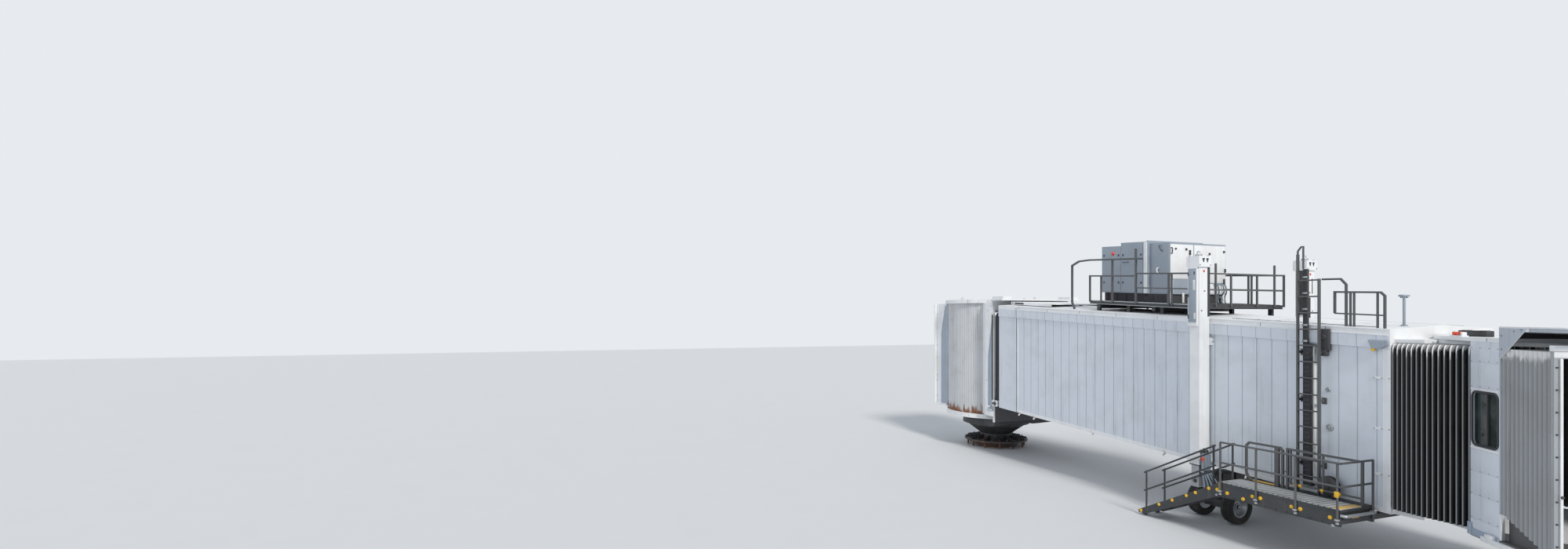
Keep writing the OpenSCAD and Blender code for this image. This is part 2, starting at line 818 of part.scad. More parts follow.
module roof_rails() {
    r = rail_r;
    tall_r = rail_r + 3;
    y = walk_y + tall_r - 2 + seat_gap;
    end_x1 = walk_x1 + r - 2 + seat_gap;
    hoop_x = walk_x0 - 620;
    gate_x = 7130;
    service_h = low_rail_h + 60;
    color("dimgray") {
        for (s = [-1, 1]) {
            // Low railing from the left end to the air handler's door
            bent_bar([
                on_walk(walk_x0 + 20, -40), on_walk(walk_x0 + 20, low_rail_h), on_walk(gate_x - 80, low_rail_h)
            ], r, s * y, r);
            walk_post(walk_x0 + 400, s * y, low_rail_h - 1, r - 2);
            // Tall railing that runs out into a hoop past the platform's end
            bent_bar([
                on_walk(7330, tall_rail_h), on_walk(walk_x0, tall_rail_h), on_walk(hoop_x + 250, tall_rail_h - 30),
                on_walk(hoop_x, tall_rail_h - 140), on_walk(hoop_x, -80), on_walk(hoop_x + 90, edge_h - walk_h + 24)
            ], tall_r, s * y, tall_r);
            walk_post(6400, s * y, tall_rail_h, tall_r - 2);
            walk_post(gate_x, s * y, tall_rail_h + 250, tall_r - 2);
            // Railing beside the service end
            bent_bar([on_walk(gate_x - 5, service_h), on_walk(end_x1, service_h), on_walk(end_x1, -40)], r, s * y, r);
            bent_bar([on_walk(gate_x - 5, service_h / 2), on_walk(end_x1, service_h / 2)], r - 4, s * y, r - 4);
            for (x = [8060, 8140])
                walk_post(x, s * y, service_h, r - 2);
            walk_post(end_x1, s * 420, service_h, r - 2);
        }
        // Rails and tall posts across the service end
        for (h = [service_h, service_h / 2 - 10])
            block(end_x1 - r + 3, end_x1 + r - 3, -y, y, roof_top(end_x1) + walk_h + h - r + 3,
                  roof_top(end_x1) + walk_h + h + r - 3);
        walk_post(end_x1, -y + 420, service_h + 230, r - 2);
        walk_post(end_x1, y - 320, service_h + 230, r - 2);
        landing_rails();
    }
}

// Guard beside the head of the wall ladder
module landing_rails() {
    y = -half_w + 60;
    x0 = 11700;
    x1 = 12500;
    h = 620;
    r = rail_r - 2;
    mid_h = 230;
    foot_h = (ridge_h - edge_h) * (60 + trim_out + r) / (half_w + trim_out) + r * fall + seat_gap;
    function at(x, h) = [x, roof_top(x) + edge_h + h];
    bent_bar([at(11480, 850), at(11800, 860), at(11890, 760), at(11890, foot_h)], r, y, r);
    bent_bar([at(x0, mid_h), at(x0, h), at(x1 - 60, h + 10), at(x1, h - 50), at(x1, foot_h)], r, y, r);
    bent_bar([at(x0, mid_h), at(x1, mid_h)], r - 4, y, r - 4);
    for (x = [11960, 12020, x1 - 110])
        block(x - r + 3, x + r - 3, y - r + 3, y + r - 3, roof_top(x) + edge_h + foot_h, roof_top(x) + edge_h + h);
}

module air_handler() {
    x0 = air_x0;
    x1 = air_x0 + air_l;
    step_x = x0 + 630;
    door_x = x0 + 1430;
    y = air_w / 2;
    deck = tunnel_h + walk_h;
    z0 = deck + air_base_h;
    color("black")
        sloped(x0 + 60, x1 - 40, deck + seat_gap, z0 + 1, -y + 60, y - 60);
    color("lightsteelblue") {
        sloped(x0, step_x, z0, z0 + air_h - 40, -y, y);
        sloped(step_x - 1, door_x, z0, z0 + air_h + 40, -y, y);
        sloped(door_x - 1, x1, z0, z0 + air_h, -y + 90, y);
    }
}

module wall_ladder() {
    y = -half_w - 150;
    near_top = 5600;
    far_top = roof_top(ladder_x) + edge_h + 850;
    x_near = ladder_x - ladder_w / 2;
    x_far = ladder_x + ladder_w / 2;
    rung_n = floor((far_top - deck_z) / rung_pitch);
    color("dimgray") {
        block(x_near - 12, x_near + 12, y - 30, y + 30, deck_z + seat_gap, near_top);
        block(x_far - 12, x_far + 12, y - 30, y + 30, deck_z + seat_gap, far_top);
        for (x = [x_near, x_far], z = [deck_z + 500, deck_z + 1700, low_z(ladder_x) + outer_ceiling - trim_h - 200])
            block(x - 12, x + 12, y + 25, -half_w, z, z + 50);
        for (k = [1:rung_n])
            rod([x_near, y, deck_z + k * rung_pitch], [x_far, y, deck_z + k * rung_pitch], 14);
        // Hand hoop at the head
        bent_bar([
            [x_near, near_top - 20], [x_near, near_top + 60], [x_near + 60, near_top + 140],
            [x_near + 100, near_top + 140], [x_near + 100, near_top - 280]
        ], 12, y, 12);
    }
}

module cable_trough() {
    x0 = ladder_x - 130;
    wide = 150;
    y = -half_w - 100;
    color("black") {
        sloped(x0, x0 + wide, 150, outer_ceiling - trim_h - 30, y, -half_w);
        // Upper run, which stands off the roof's edge
        block(x0, x0 + 70, y, -half_w - trim_out - 10, low_z(ladder_x) + outer_ceiling - trim_h - 60, 5320);
        sloped(x0 + wide + 10, x0 + wide + 30, 200, outer_ceiling - trim_h - 30, y + 40, -half_w);
    }
}

module service_deck() {
    y_in = -half_w - 50;
    arm_z = deck_z - deck_beam_h + 40;
    plate_t = 40;
    color("dimgray") {
        block(deck_x0, deck_x1, deck_y, y_in, deck_z - plate_t, deck_z);
        block(deck_x0, deck_x1, deck_y, deck_y + 50, deck_z - deck_beam_h, deck_z - plate_t + 1);
        block(deck_x0, deck_x1, y_in - 50, y_in, deck_z - deck_beam_h, deck_z - plate_t + 1);
        // Lugs for the stair's pin
        for (y = [deck_y + 34, stair_in_y - 74])
            difference() {
                block(hinge_x - 40, deck_x0 + 1, y, y + 40, hinge_z - 45, hinge_z + 60);
                translate([hinge_x, y - 1, hinge_z])
                    rotate([-90, 0, 0])
                        cylinder(h = 42, r = hinge_r + seat_gap, $fn = 32);
            }
        block(deck_x0, deck_x0 + 50, deck_y, y_in, deck_z - deck_beam_h, deck_z - plate_t + 1);
        for (x = [deck_x0 + 60, (deck_x0 + deck_x1) / 2, deck_x1 - 60]) {
            block(x - 60, x + 60, deck_y + 40, -800, arm_z, arm_z + 90);
            sloped(x - 60, x + 60, arm_z + 80 - low_z(x), -seat_gap, -1000, -800);
        }
    }
}

module deck_rails() {
    y = deck_y - rail_r;
    foot = deck_z - deck_beam_h + 60;
    h = deck_rail_h + deck_z - foot;
    color("dimgray") {
        for (x = [deck_x0 + 40, deck_x0 + 760, deck_x0 + 1480, deck_x1 - 30])
            translate([x, y, foot])
                cylinder(h = h, r = rail_r, $fn = 16);
        for (z = [deck_z + deck_rail_h, deck_z + deck_rail_h / 2])
            rod([deck_x0 + 40, y, z], [deck_x1 - 30, y, z], rail_r);
        for (z = [deck_z + deck_rail_h, deck_z + deck_rail_h / 2])
            rod([deck_x1 + rail_r, y, z], [deck_x1 + rail_r, -half_w - 120, z], rail_r);
        for (z = [deck_z + deck_rail_h, deck_z + deck_rail_h / 2])
            rod([deck_x1 - 30, y, z], [deck_x1 + rail_r, y, z], rail_r);
        translate([deck_x1 + rail_r, -half_w - 120, foot])
            cylinder(h = h, r = rail_r, $fn = 16);
        inner_deck_rails();
    }
}

// Railing between the deck's walkway and the ladder, with a gate loop at its end
module inner_deck_rails() {
    y = -half_w - 300;
    top = deck_z + deck_rail_h - 30;
    toe = deck_z + 130;
    x0 = deck_x0 + 80;
    x1 = deck_x0 + 800;
    x2 = x1 + 90;
    x3 = deck_x1 - 40;
    z0 = deck_z + seat_gap;
    bent_bar([
        [x0 + 110, z0 + rail_r], [x0 + 25, toe - 20], [x0, toe + 50], [x0, top - 70], [x0 + 60, top],
        [x1 - 40, top], [x1, top - 50], [x1, z0]
    ], rail_r, y, rail_r);
    block(x1 - 140, x1 - 70, y - 30, y + 30, z0, top);
    bent_bar([[x2, z0], [x2, top], [x3, top], [x3, z0]], rail_r, y, rail_r);
    bent_bar([[x2, toe], [x3, toe]], rail_r - 4, y, rail_r - 4);
    for (x = [x2 + 60, (x2 + x3) / 2])
        block(x - rail_r + 5, x + rail_r - 5, y - rail_r + 5, y + rail_r - 5, toe, top);
    block(x1, x2, y - 8, y + 8, toe + 190, toe + 210);
}

// Height of the stair's nosing line at a place along it
function stair_z(x) = 110 + (x - stair_foot_x) * (deck_z - 130) / (stair_top_x - stair_foot_x);

// Stair with foot rollers, which turns on a pin at the deck's end
module service_stair() {
    string_t = 30;
    string_h = 210;
    roller_r = 58;
    roller_x = stair_foot_x + 80;
    post_x = [stair_foot_x + 200, stair_top_x - 120];
    color("dimgray") {
        for (y = [deck_y, stair_in_y - string_t])
            translate([0, y + string_t, 0])
                rotate([90, 0, 0])
                    linear_extrude(height = string_t)
                        polygon([
                            [stair_foot_x, 45], [stair_foot_x + 170, 45], [stair_top_x, stair_z(stair_top_x) - string_h - 50],
                            [stair_top_x, stair_z(stair_top_x)], [stair_foot_x, stair_z(stair_foot_x)]
                        ]);
        for (k = [1:tread_count]) {
            x = stair_foot_x + k * (stair_top_x - stair_foot_x) / (tread_count + 1);
            block(x - 115, x + 115, deck_y + string_t - 1, stair_in_y - string_t + 1, stair_z(x) - 90, stair_z(x) - 60);
        }
        // Pin at the deck's end and axle of the foot rollers
        rod([hinge_x, deck_y + 5, hinge_z], [hinge_x, stair_in_y - 5, hinge_z], hinge_r);
        rod([roller_x, deck_y + 5, roller_r + 2], [roller_x, stair_in_y - 5, roller_r + 2], 18);
        // Handrails
        for (y = [deck_y + string_t / 2, stair_in_y - string_t / 2]) {
            for (x = post_x)
                rod([x, y, stair_z(x) - 60], [x, y, stair_z(x) + deck_rail_h], rail_r);
            for (h = [deck_rail_h, deck_rail_h / 2])
                rod([post_x[0] - 60, y, stair_z(post_x[0] - 60) + h - 25],
                    [post_x[1] + 40, y, stair_z(post_x[1] + 40) + h - 25], rail_r - 1);
        }
    }
    color("black")
        for (y = [deck_y + 110, stair_in_y - 110])
            translate([roller_x, y + 25, roller_r + 2])
                rotate([90, 0, 0])
                    cylinder(h = 50, r = roller_r, $fn = 32);
}

// Wheel carriage

module lift_leg() {
    pad = leg_gap - seat_gap;
    difference() {
        union() {
            block(lift_x - leg_a / 2, lift_x + leg_a / 2, column_mid_y - leg_b / 2, column_mid_y + leg_b / 2,
                  beam_z, column_top - 900);
            // Guide pads at the leg's head
            block(lift_x - leg_a / 2 - pad, lift_x + leg_a / 2 + pad, column_mid_y - leg_b / 2 - pad,
                  column_mid_y + leg_b / 2 + pad, column_top - 1150, column_top - 920);
        }
        translate([lift_x, column_mid_y, pin_z])
            rotate([90, 0, 0])
                cylinder(h = leg_b + 2, r = level_pin_r + seat_gap, center = true, $fn = 48);
    }
}

module lift_legs() {
    color("lightsteelblue") {
        lift_leg();
        mirror([0, 1, 0])
            lift_leg();
    }
}

module carriage_beam() {
    y_end = column_mid_y - leg_b / 2 - 10;
    color("dimgray") {
        block(lift_x - 150, lift_x + 150, -y_end, y_end, beam_z, beam_z + beam_h);
        for (s = [-1, 1])
            translate([lift_x, s > 0 ? y_end - 1 : -y_end + 1, pin_z])
                rotate([s > 0 ? -90 : 90, 0, 0])
                    cylinder(h = leg_b + 20, r = level_pin_r, $fn = 48);
    }
}

module truck() {
    stem_z = wheel_r - 60;
    translate([lift_x, truck_y, 0]) {
        translate([0, 0, beam_z - 20 - seat_gap])
            cylinder(h = 20, r = 190, $fn = 64);
        translate([0, 0, stem_z])
            cylinder(h = beam_z - 10 - stem_z, r = 95, $fn = 64);
        translate([-wheel_off + tyre_w / 2 + 15, -110, wheel_r - 85])
            cube([2 * (wheel_off - tyre_w / 2 - 15), 220, 170]);
        rotate([0, 90, 0])
            translate([-wheel_r, 0, 0])
                cylinder(h = 2 * (wheel_off + 60), r = axle_r, center = true, $fn = 48);
    }
}

module near_truck() {
    color("dimgray")
        mirror([0, 1, 0])
            truck();
}

module far_truck() {
    color("dimgray")
        truck();
}

// Tyre and rim as one revolved wheel, bored for its axle
module wheel() {
    rim_r = 0.56 * wheel_r;
    w = tyre_w / 2;
    rotate([0, 90, 0])
        rotate_extrude($fn = 64)
            polygon([
                [axle_r + seat_gap, -w + 70], [rim_r - 30, -w + 70], [rim_r - 15, -w + 25], [rim_r, -w + 10],
                [wheel_r - 60, -w], [wheel_r - 15, -w + 25], [wheel_r, -w + 60],
                [wheel_r, w - 60], [wheel_r - 15, w - 25], [wheel_r - 60, w],
                [rim_r, w - 10], [rim_r - 15, w - 25], [rim_r - 30, w - 70], [axle_r + seat_gap, w - 70]
            ]);
}

module wheel_pair(y) {
    color([0.1, 0.1, 0.1])
        for (s = [-1, 1])
            translate([lift_x + s * wheel_off, y, wheel_r])
                wheel();
}

module near_wheels() {
    wheel_pair(-truck_y);
}

module far_wheels() {
    wheel_pair(truck_y);
}

// Cab

module cab_floor() {
    z1 = cab_floor_z;
    z0 = cab_floor_z - floor_t - cab_gap;
    beam_d = 100;
    fender = 60;
    skirt_y = cab_half - 105;
    skirt_h = 450;
    color("gray")
        in_cab() {
            translate([0, 0, z0])
                linear_extrude(height = z1 - z0)
                    difference() {
                        translate([cab_back, -cab_half])
                            square([bumper_a - cab_back, 2 * cab_half]);
                        circle(r = round_r + 12, $fn = 128);
                    }
            // Underframe, which carries the cab's pin below the round floor
            translate([0, 0, z0 - beam_d])
                linear_extrude(height = beam_d + 1)
                    union() {
                        for (y = [-660, 540])
                            translate([-60, y])
                                square([bumper_a - 20, 120]);
                        translate([-60, -600])
                            square([280, 1200]);
                    }
            translate([0, 0, z0 - 1])
                cylinder(h = cab_gap + 1 - seat_gap, r = thrust_r, $fn = 64);
            translate([0, 0, z0 - 1])
                cylinder(h = floor_t + cab_gap - 1, r = cab_pin_r, $fn = 48);
            for (s = [-1, 1]) {
                // Fender along the floor's edge
                block(cab_front - 300, bumper_a, s > 0 ? cab_half - 1 : -cab_half - fender, s > 0 ? cab_half + fender : -cab_half + 1,
                      z0 + 10, z0 + 70);
                // Skirt inside the closure's folds
                translate([0, s * skirt_y + 5, 0])
                    rotate([90, 0, 0])
                        linear_extrude(height = 10)
                            polygon([
                                [cab_front + 20, z1 - 1], [bumper_a - 150, z1 - 1], [bumper_a - 150, z1 + 130],
                                [cab_front + 20, z1 + skirt_h]
                            ]);
            }
        }
}

// Opening for the side window, with round corners, in the panel's plane
module window_outline(inset) {
    x0 = cab_back + 40 + inset;
    x1 = cab_front - 30 - inset;
    z0 = cab_floor_z + 1320 + inset;
    z1 = cab_floor_z + 2150 - inset;
    r = 90 - inset / 2;
    union() {
        translate([x0, z0 + r])
            square([x1 - x0, z1 - z0 - 2 * r]);
        translate([x0 + r, z0])
            square([x1 - x0 - 2 * r, z1 - z0]);
        for (x = [x0 + r, x1 - r], z = [z0 + r, z1 - r])
            translate([x, z])
                circle(r = r, $fn = 32);
    }
}

module cab_side() {
    z1 = canopy_z + roof_t + cab_gap;
    difference() {
        block(cab_back, cab_front, cab_half - panel_t, cab_half, cab_floor_z, z1);
        translate([0, cab_half + 1, 0])
            rotate([90, 0, 0])
                linear_extrude(height = panel_t + 2)
                    window_outline(0);
    }
}

module cab_near_side() {
    color("whitesmoke")
        in_cab()
            mirror([0, 1, 0])
                cab_side();
}

module cab_far_side() {
    color("whitesmoke")
        in_cab()
            cab_side();
}

module cab_roof() {
    z0 = canopy_z + roof_t + cab_gap;
    t = 60;
    hood_z = z0 + 165;
    hood_t = 70;
    gusset_a = 550;
    gusset_z = z0 - 260;
    gusset_t = 12;
    color("whitesmoke")
        in_cab() {
            translate([0, 0, z0])
                linear_extrude(height = t)
                    union() {
                        circle(r = round_r - 30, $fn = 360);
                        translate([0, -cab_half])
                            square([cab_front + 60, 2 * cab_half]);
                    }
            translate([0, 0, z0 - cab_gap - roof_t + 2])
                cylinder(h = cab_gap + roof_t, r = cab_pin_r, $fn = 48);
            translate([0, 0, z0 - cab_gap + seat_gap])
                cylinder(h = cab_gap, r = thrust_r, $fn = 64);
            // Raised hood over the closure
            block(cab_front, cab_front + hood_l, -cab_half, cab_half, hood_z, hood_z + hood_t);
            block(cab_front, cab_front + 40, -cab_half, cab_half, z0 + t - 1, hood_z + 1);
            for (s = [-1, 1])
                translate([0, s > 0 ? cab_half + gusset_t : -cab_half + 1, 0])
                    rotate([90, 0, 0])
                        linear_extrude(height = gusset_t + 1)
                            polygon([
                                [cab_front, gusset_z], [cab_front + gusset_a, hood_z + hood_t - 1],
                                [cab_front, hood_z + hood_t - 1]
                            ]);
        }
}

module cab_windows() {
    color([0.15, 0.2, 0.2])
        in_cab()
            for (s = [-1, 1])
                translate([0, s * (cab_half - panel_t / 2) + 4, 0])
                    rotate([90, 0, 0])
                        linear_extrude(height = 8)
                            window_outline(0.5);
}

// A curtain wall between two points, bowed outwards, as a plan outline
module bowed_wall(a, b, bow, t, z0, z1) {
    n = 12;
    d = b - a;
    side = [-d[1], d[0]] / norm(d);
    mid = [for (k = [0:n]) a + d * k / n + side * bow * sin(180 * k / n)];
    translate([0, 0, z0])
        linear_extrude(height = z1 - z0)
            polygon(concat(
                [for (p = mid) p + side * t / 2],
                [for (k = [n:-1:0]) mid[k] - side * t / 2]
            ));
}

// A point given in the cab's frame, in the bridge's frame
function from_cab(a, y) = [
    cab_x + a * cos(cab_yaw) + y * sin(cab_yaw),
    -a * sin(cab_yaw) + y * cos(cab_yaw)
];

module cab_bellows() {
    t = 80;
    z0 = cab_floor_z + 6;
    z1 = canopy_z - 6;
    color([0.1, 0.1, 0.1]) {
        difference() {
            union() {
                bowed_wall([outer_x1 - 50, half_w - t / 2], from_cab(cab_back + 50, cab_half - t / 2), 330, t, z0, z1);
                bowed_wall(from_cab(cab_back + 50, -cab_half + t / 2), [outer_x1 - 50, -half_w + t / 2], 60, t, z0, z1);
            }
            translate([outer_x1 - 1000, -3000, z0 - 1])
                cube([1000 + seat_gap, 6000, z1 - z0 + 2]);
            in_cab()
                translate([cab_back - seat_gap, -3000, z0 - 1])
                    cube([1000, 6000, z1 - z0 + 2]);
        }
    }
}

// Closure that meets the aircraft

module closure_frame() {
    post = 90;
    z0 = cab_floor_z + 8;
    z1 = canopy_z - 20;
    a0 = closure_a - 60;
    color("gainsboro")
        in_cab() {
            for (s = [-1, 1])
                block(a0, closure_a, s > 0 ? cab_half - post : -cab_half, s > 0 ? cab_half : -cab_half + post, z0, z1);
            block(a0, closure_a, -cab_half, cab_half, z1 - post, z1);
        }
}

module closure_bellows() {
    t = 60;
    a0 = cab_front + seat_gap;
    a1 = closure_a - 60 - seat_gap;
    z1 = canopy_z - 22;
    color([0.45, 0.45, 0.45])
        in_cab() {
            for (s = [-1, 1])
                translate([0, s > 0 ? cab_half - 2 : -cab_half + 2 + t, 0])
                    rotate([90, 0, 0])
                        linear_extrude(height = t)
                            polygon([
                                [a0, cab_floor_z + 410], [a1, cab_floor_z + 10], [a1, z1], [a0, z1]
                            ]);
            block(a0, a1, -cab_half + 2 + t - 1, cab_half - 2 - t + 1, z1 - t, z1);
        }
}

pedestal();
rotunda_floor();
rotunda_roof();
corridor_frame();
slat_curtains();
turntable();
portal_frame();
portal_floor();
roof_flashing();
pitch_pins();
inner_floor();
inner_roof();
inner_near_wall();
inner_far_wall();
portal_seal();
outer_floor();
outer_roof();
outer_near_wall();
outer_far_wall();
end_frame();
cab_platform();
cab_canopy();
lift_columns();
roof_platform();
roof_rails();
air_handler();
wall_ladder();
cable_trough();
service_deck();
deck_rails();
service_stair();
lift_legs();
carriage_beam();
near_truck();
far_truck();
near_wheels();
far_wheels();
cab_floor();
cab_near_side();
cab_far_side();
cab_roof();
cab_windows();
cab_bellows();
closure_frame();
closure_bellows();
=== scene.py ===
"""Looks of a passenger boarding bridge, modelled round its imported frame."""

import math

import bpy
from mathutils import Matrix, Vector


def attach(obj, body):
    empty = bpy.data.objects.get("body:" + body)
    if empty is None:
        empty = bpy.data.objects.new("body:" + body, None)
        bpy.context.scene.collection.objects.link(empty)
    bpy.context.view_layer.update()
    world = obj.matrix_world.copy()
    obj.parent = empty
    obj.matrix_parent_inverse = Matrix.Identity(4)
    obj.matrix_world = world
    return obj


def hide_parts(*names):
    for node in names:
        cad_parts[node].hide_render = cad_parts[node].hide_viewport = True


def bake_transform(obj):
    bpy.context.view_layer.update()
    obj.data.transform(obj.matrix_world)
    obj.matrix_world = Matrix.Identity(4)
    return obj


bl_info = {
    "name": "Jet Bridge Looks",
    "version": (1, 0, 0),
    "blender": (4, 5, 0),
    "location": "View3D > Sidebar > Jet Bridge",
    "description": "Models the looks of a passenger boarding bridge round its frame",
    "category": "Object",
}

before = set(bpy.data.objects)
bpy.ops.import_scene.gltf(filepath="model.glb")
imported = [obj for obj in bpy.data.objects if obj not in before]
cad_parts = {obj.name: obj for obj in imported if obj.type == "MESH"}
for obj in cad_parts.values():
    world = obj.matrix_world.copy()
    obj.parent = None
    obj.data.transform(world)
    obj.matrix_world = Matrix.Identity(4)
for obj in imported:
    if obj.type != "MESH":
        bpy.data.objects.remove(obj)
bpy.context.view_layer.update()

# Places that the frame fixes, in metres
FALL = math.tan(math.radians(3))
TUNNEL_X = 2.12
TUNNEL_Z = 1.59
TUNNEL_H = 3.0
HALF_W = 1.5
OUTER_X0 = 2.96
OUTER_X1 = 12.62
DRUM_R = 1.6
RIM_TOP = 1.22
DRUM_TOP = 4.85
CAB_X = 14.0
CAB_YAW = math.radians(-35)
CAB_HALF = 1.45
CAB_BACK = 0.705
CAB_FRONT = 1.325
CAB_FLOOR = 1.1297
CANOPY_Z = 3.9797
CLOSURE_A = 2.31
DECK_Z = 1.14
LIFT_X = 9.15
NEAR_TRUCK_Y = -1.1
TRUCKS = (("near", NEAR_TRUCK_Y), ("far", -NEAR_TRUCK_Y))
AXLE_Z = 0.36
WHEEL_REACH = 0.4

# Planes that trim is seated on, and values that several pieces share
WALL_Y = -1.499
FASCIA_Y = -2.4605
PANEL_PITCH = 0.305
RUNG_PITCH = 0.305
SMOOTH_BELOW = math.radians(40)
FABRIC = 0.004

# Directions
UP = (0, 0, 1)
OUT = (0, -1, 0)
ALONG = (1, 0, 0)
INWARD = (0, 1, 0)

# How things are turned in the cab, and the mirrors of the tunnel and of the cab
CAB_TURN = Matrix.Translation((CAB_X, 0, 0)) @ Matrix.Rotation(CAB_YAW, 4, "Z")
TUNNEL_MIRROR = Matrix.Scale(-1, 4, INWARD)
CAB_MIRROR = CAB_TURN @ TUNNEL_MIRROR @ CAB_TURN.inverted()

# The record's slot that each finish belongs to
SLOTS = {
    "wall_paint": "white_steel",
    "plain_white": "white_steel",
    "panel_blue": "white_steel",
    "hood_paint": "white_steel",
    "label_white": "white_steel",
    "signal_red": "white_steel",
    "unit_paint": "white_steel",
    "base_paint": "dark_steel",
    "dark_paint": "dark_steel",
    "rail_paint": "dark_steel",
    "reflector": "dark_steel",
    "deck_boards": "dark_steel",
    "zinc": "bare_steel",
    "hose_skin": "unit_grey",
    "slat_metal": "slats",
    "tyre_rubber": "tyre",
    "black_rubber": "black_rubber",
    "bellows_rubber": "black_rubber",
    "fold_edge": "black_rubber",
    "closure_cloth": "closure_fabric",
}


def low_z(x):
    """Height of the tunnel's underside at x."""
    return TUNNEL_Z - (x - TUNNEL_X) * FALL


def roof_z(x):
    """Height of the wall's top line at x."""
    return low_z(x) + TUNNEL_H


def cab_point(ahead, left, z):
    """A point given in the cab's own directions."""
    c = math.cos(CAB_YAW)
    s = math.sin(CAB_YAW)
    return Vector((CAB_X + ahead * c - left * s, ahead * s + left * c, z))


CAB_AHEAD = cab_point(1, 0, 0) - cab_point(0, 0, 0)
CAB_OUT = cab_point(0, -1, 0) - cab_point(0, 0, 0)


# Settings that a user would change


def count_prop(name, description, default, low, high):
    return bpy.props.IntProperty(name=name, description=description, default=default, min=low, max=high)


def length_prop(name, description, default):
    return bpy.props.FloatProperty(name=name, description=description, default=default, unit="LENGTH")


def colour_prop(name, description, default):
    return bpy.props.FloatVectorProperty(
        name=name, description=description, default=default, subtype="COLOR", size=3, min=0, max=1
    )


class BridgeSizes(bpy.types.PropertyGroup):
    slats: count_prop("Slats", "Slats in one rotunda curtain", 22, 8, 40)
    slat_rise: length_prop("Slat Rise", "Height of a slat's crown", 0.009)
    folds: count_prop("Folds", "Folds in the bellows behind the cab", 15, 4, 30)
    pleats: count_prop("Pleats", "Pleats in the closure's sides", 11, 4, 24)
    bolt_size: length_prop("Bolt Size", "Width of a bolt head", 0.03)
    tread_blocks: count_prop("Tread Blocks", "Grooves round a tyre", 36, 12, 72)


class BridgeColours(bpy.types.PropertyGroup):
    wall: colour_prop("Wall Paint", "Paint of the walls", (0.65, 0.69, 0.745))
    roof: colour_prop("Roof Paint", "Paint of the roofs", (0.80, 0.81, 0.82))
    # Besides seams and sills, this blue-grey is painted shade on the corridor and portal panels.
    panel: colour_prop("Panel Paint", "Blue-grey paint of sunk panels", (0.34, 0.40, 0.48))
    hood: colour_prop("Hood Paint", "Grey paint of the hood's side plates", (0.44, 0.48, 0.53))
    dark: colour_prop("Dark Paint", "Paint of the steelwork below", (0.035, 0.038, 0.043))
    rail: colour_prop("Rail Paint", "Paint of railings and ladder", (0.085, 0.088, 0.092))
    slat: colour_prop("Slats", "Bare metal of the curtains", (0.56, 0.575, 0.59))
    rubber: colour_prop("Rubber", "Bellows and seals", (0.007, 0.007, 0.008))
    # Fold edges are lighter grey lines along the crests of the folds; near their tops they are paler still, a
    # painted highlight.
    fold: colour_prop("Fold Edge", "Worn edges of the bellows' folds", (0.27, 0.28, 0.29))
    pleat: colour_prop("Closure Fabric", "Pleated fabric of the closure", (0.34, 0.35, 0.36))
    glass: colour_prop("Glass", "Tinted window glass", (0.012, 0.022, 0.018))
    unit: colour_prop("Air Handler", "Paint of the air handler", (0.31, 0.355, 0.415))
    deck: colour_prop("Deck Boards", "Grey boards of the service deck", (0.42, 0.43, 0.43))
    rust: colour_prop("Rust", "Rust and rust stains", (0.20, 0.075, 0.028))
    dirt: colour_prop("Dirt", "Dust and run-off", (0.18, 0.165, 0.14))
    reflector: colour_prop("Reflector", "Yellow reflectors and nosings", (0.80, 0.46, 0.02))
    signal: colour_prop("Signal", "Red and orange lamps", (0.70, 0.06, 0.02))
    hose: colour_prop("Hose", "Blue-grey supply hoses", (0.22, 0.27, 0.33))
    floor: colour_prop("Floor", "Studio floor", (0.62, 0.63, 0.64))


# Shader nodes and groups


def put(node, label, value):
    """Links a socket, or sets its value."""
    socket = node.inputs[label]
    if isinstance(value, bpy.types.NodeSocket):
        node.id_data.links.new(value, socket)
    elif socket.type == "RGBA":
        socket.default_value = (*value[:3], 1)
    else:
        socket.default_value = value


def add_node(tree, kind, values, **settings):
    """A shader node with its settings, and its sockets linked or set."""
    node = tree.nodes.new("ShaderNode" + kind)
    for name, setting in settings.items():
        setattr(node, name, setting)
    for label, value in values.items():
        put(node, label, value)
    return node


def noise(tree, vector, scale, detail=4.0, roughness=0.6):
    values = {"Vector": vector, "Scale": scale, "Detail": detail, "Roughness": roughness}
    return add_node(tree, "TexNoise", values).outputs["Fac"]


def stretched(tree, vector, scale):
    return add_node(tree, "Mapping", {"Vector": vector, "Scale": scale}).outputs["Vector"]


def maths(tree, operation, *values, clamp=False):
    node = add_node(tree, "Math", dict(enumerate(values)), operation=operation, use_clamp=clamp)
    return node.outputs["Value"]


def ranged(tree, value, low, high):
    """A smooth step from 0 to 1 between two values."""
    values = {"Value": value, "From Min": low, "From Max": high}
    return add_node(tree, "MapRange", values, interpolation_type="SMOOTHSTEP").outputs["Result"]


def mixed(tree, mask, first, second):
    """A colour between two, by a mask."""
    return add_node(tree, "Mix", {0: mask, 6: first, 7: second}, data_type="RGBA").outputs[2]


def object_place(tree):
    return add_node(tree, "TexCoord", {}).outputs["Object"]


def axis_of(tree, axis):
    """One of the Object coordinates."""
    return add_node(tree, "SeparateXYZ", {0: object_place(tree)}).outputs[axis]


def new_group(name, inputs, outputs):
    """A shader group; inputs and outputs name its colours and then its numbers."""
    tree = bpy.data.node_groups.new(name, "ShaderNodeTree")
    for in_out, labels, kind in (
        ("INPUT", inputs[0], "Color"),
        ("INPUT", inputs[1], "Float"),
        ("OUTPUT", outputs[0], "Color"),
        ("OUTPUT", outputs[1], "Float"),
    ):
        for label in labels:
            tree.interface.new_socket(name=label, in_out=in_out, socket_type="NodeSocket" + kind)
    given = tree.nodes.new("NodeGroupInput").outputs
    return tree, given, tree.nodes.new("NodeGroupOutput")


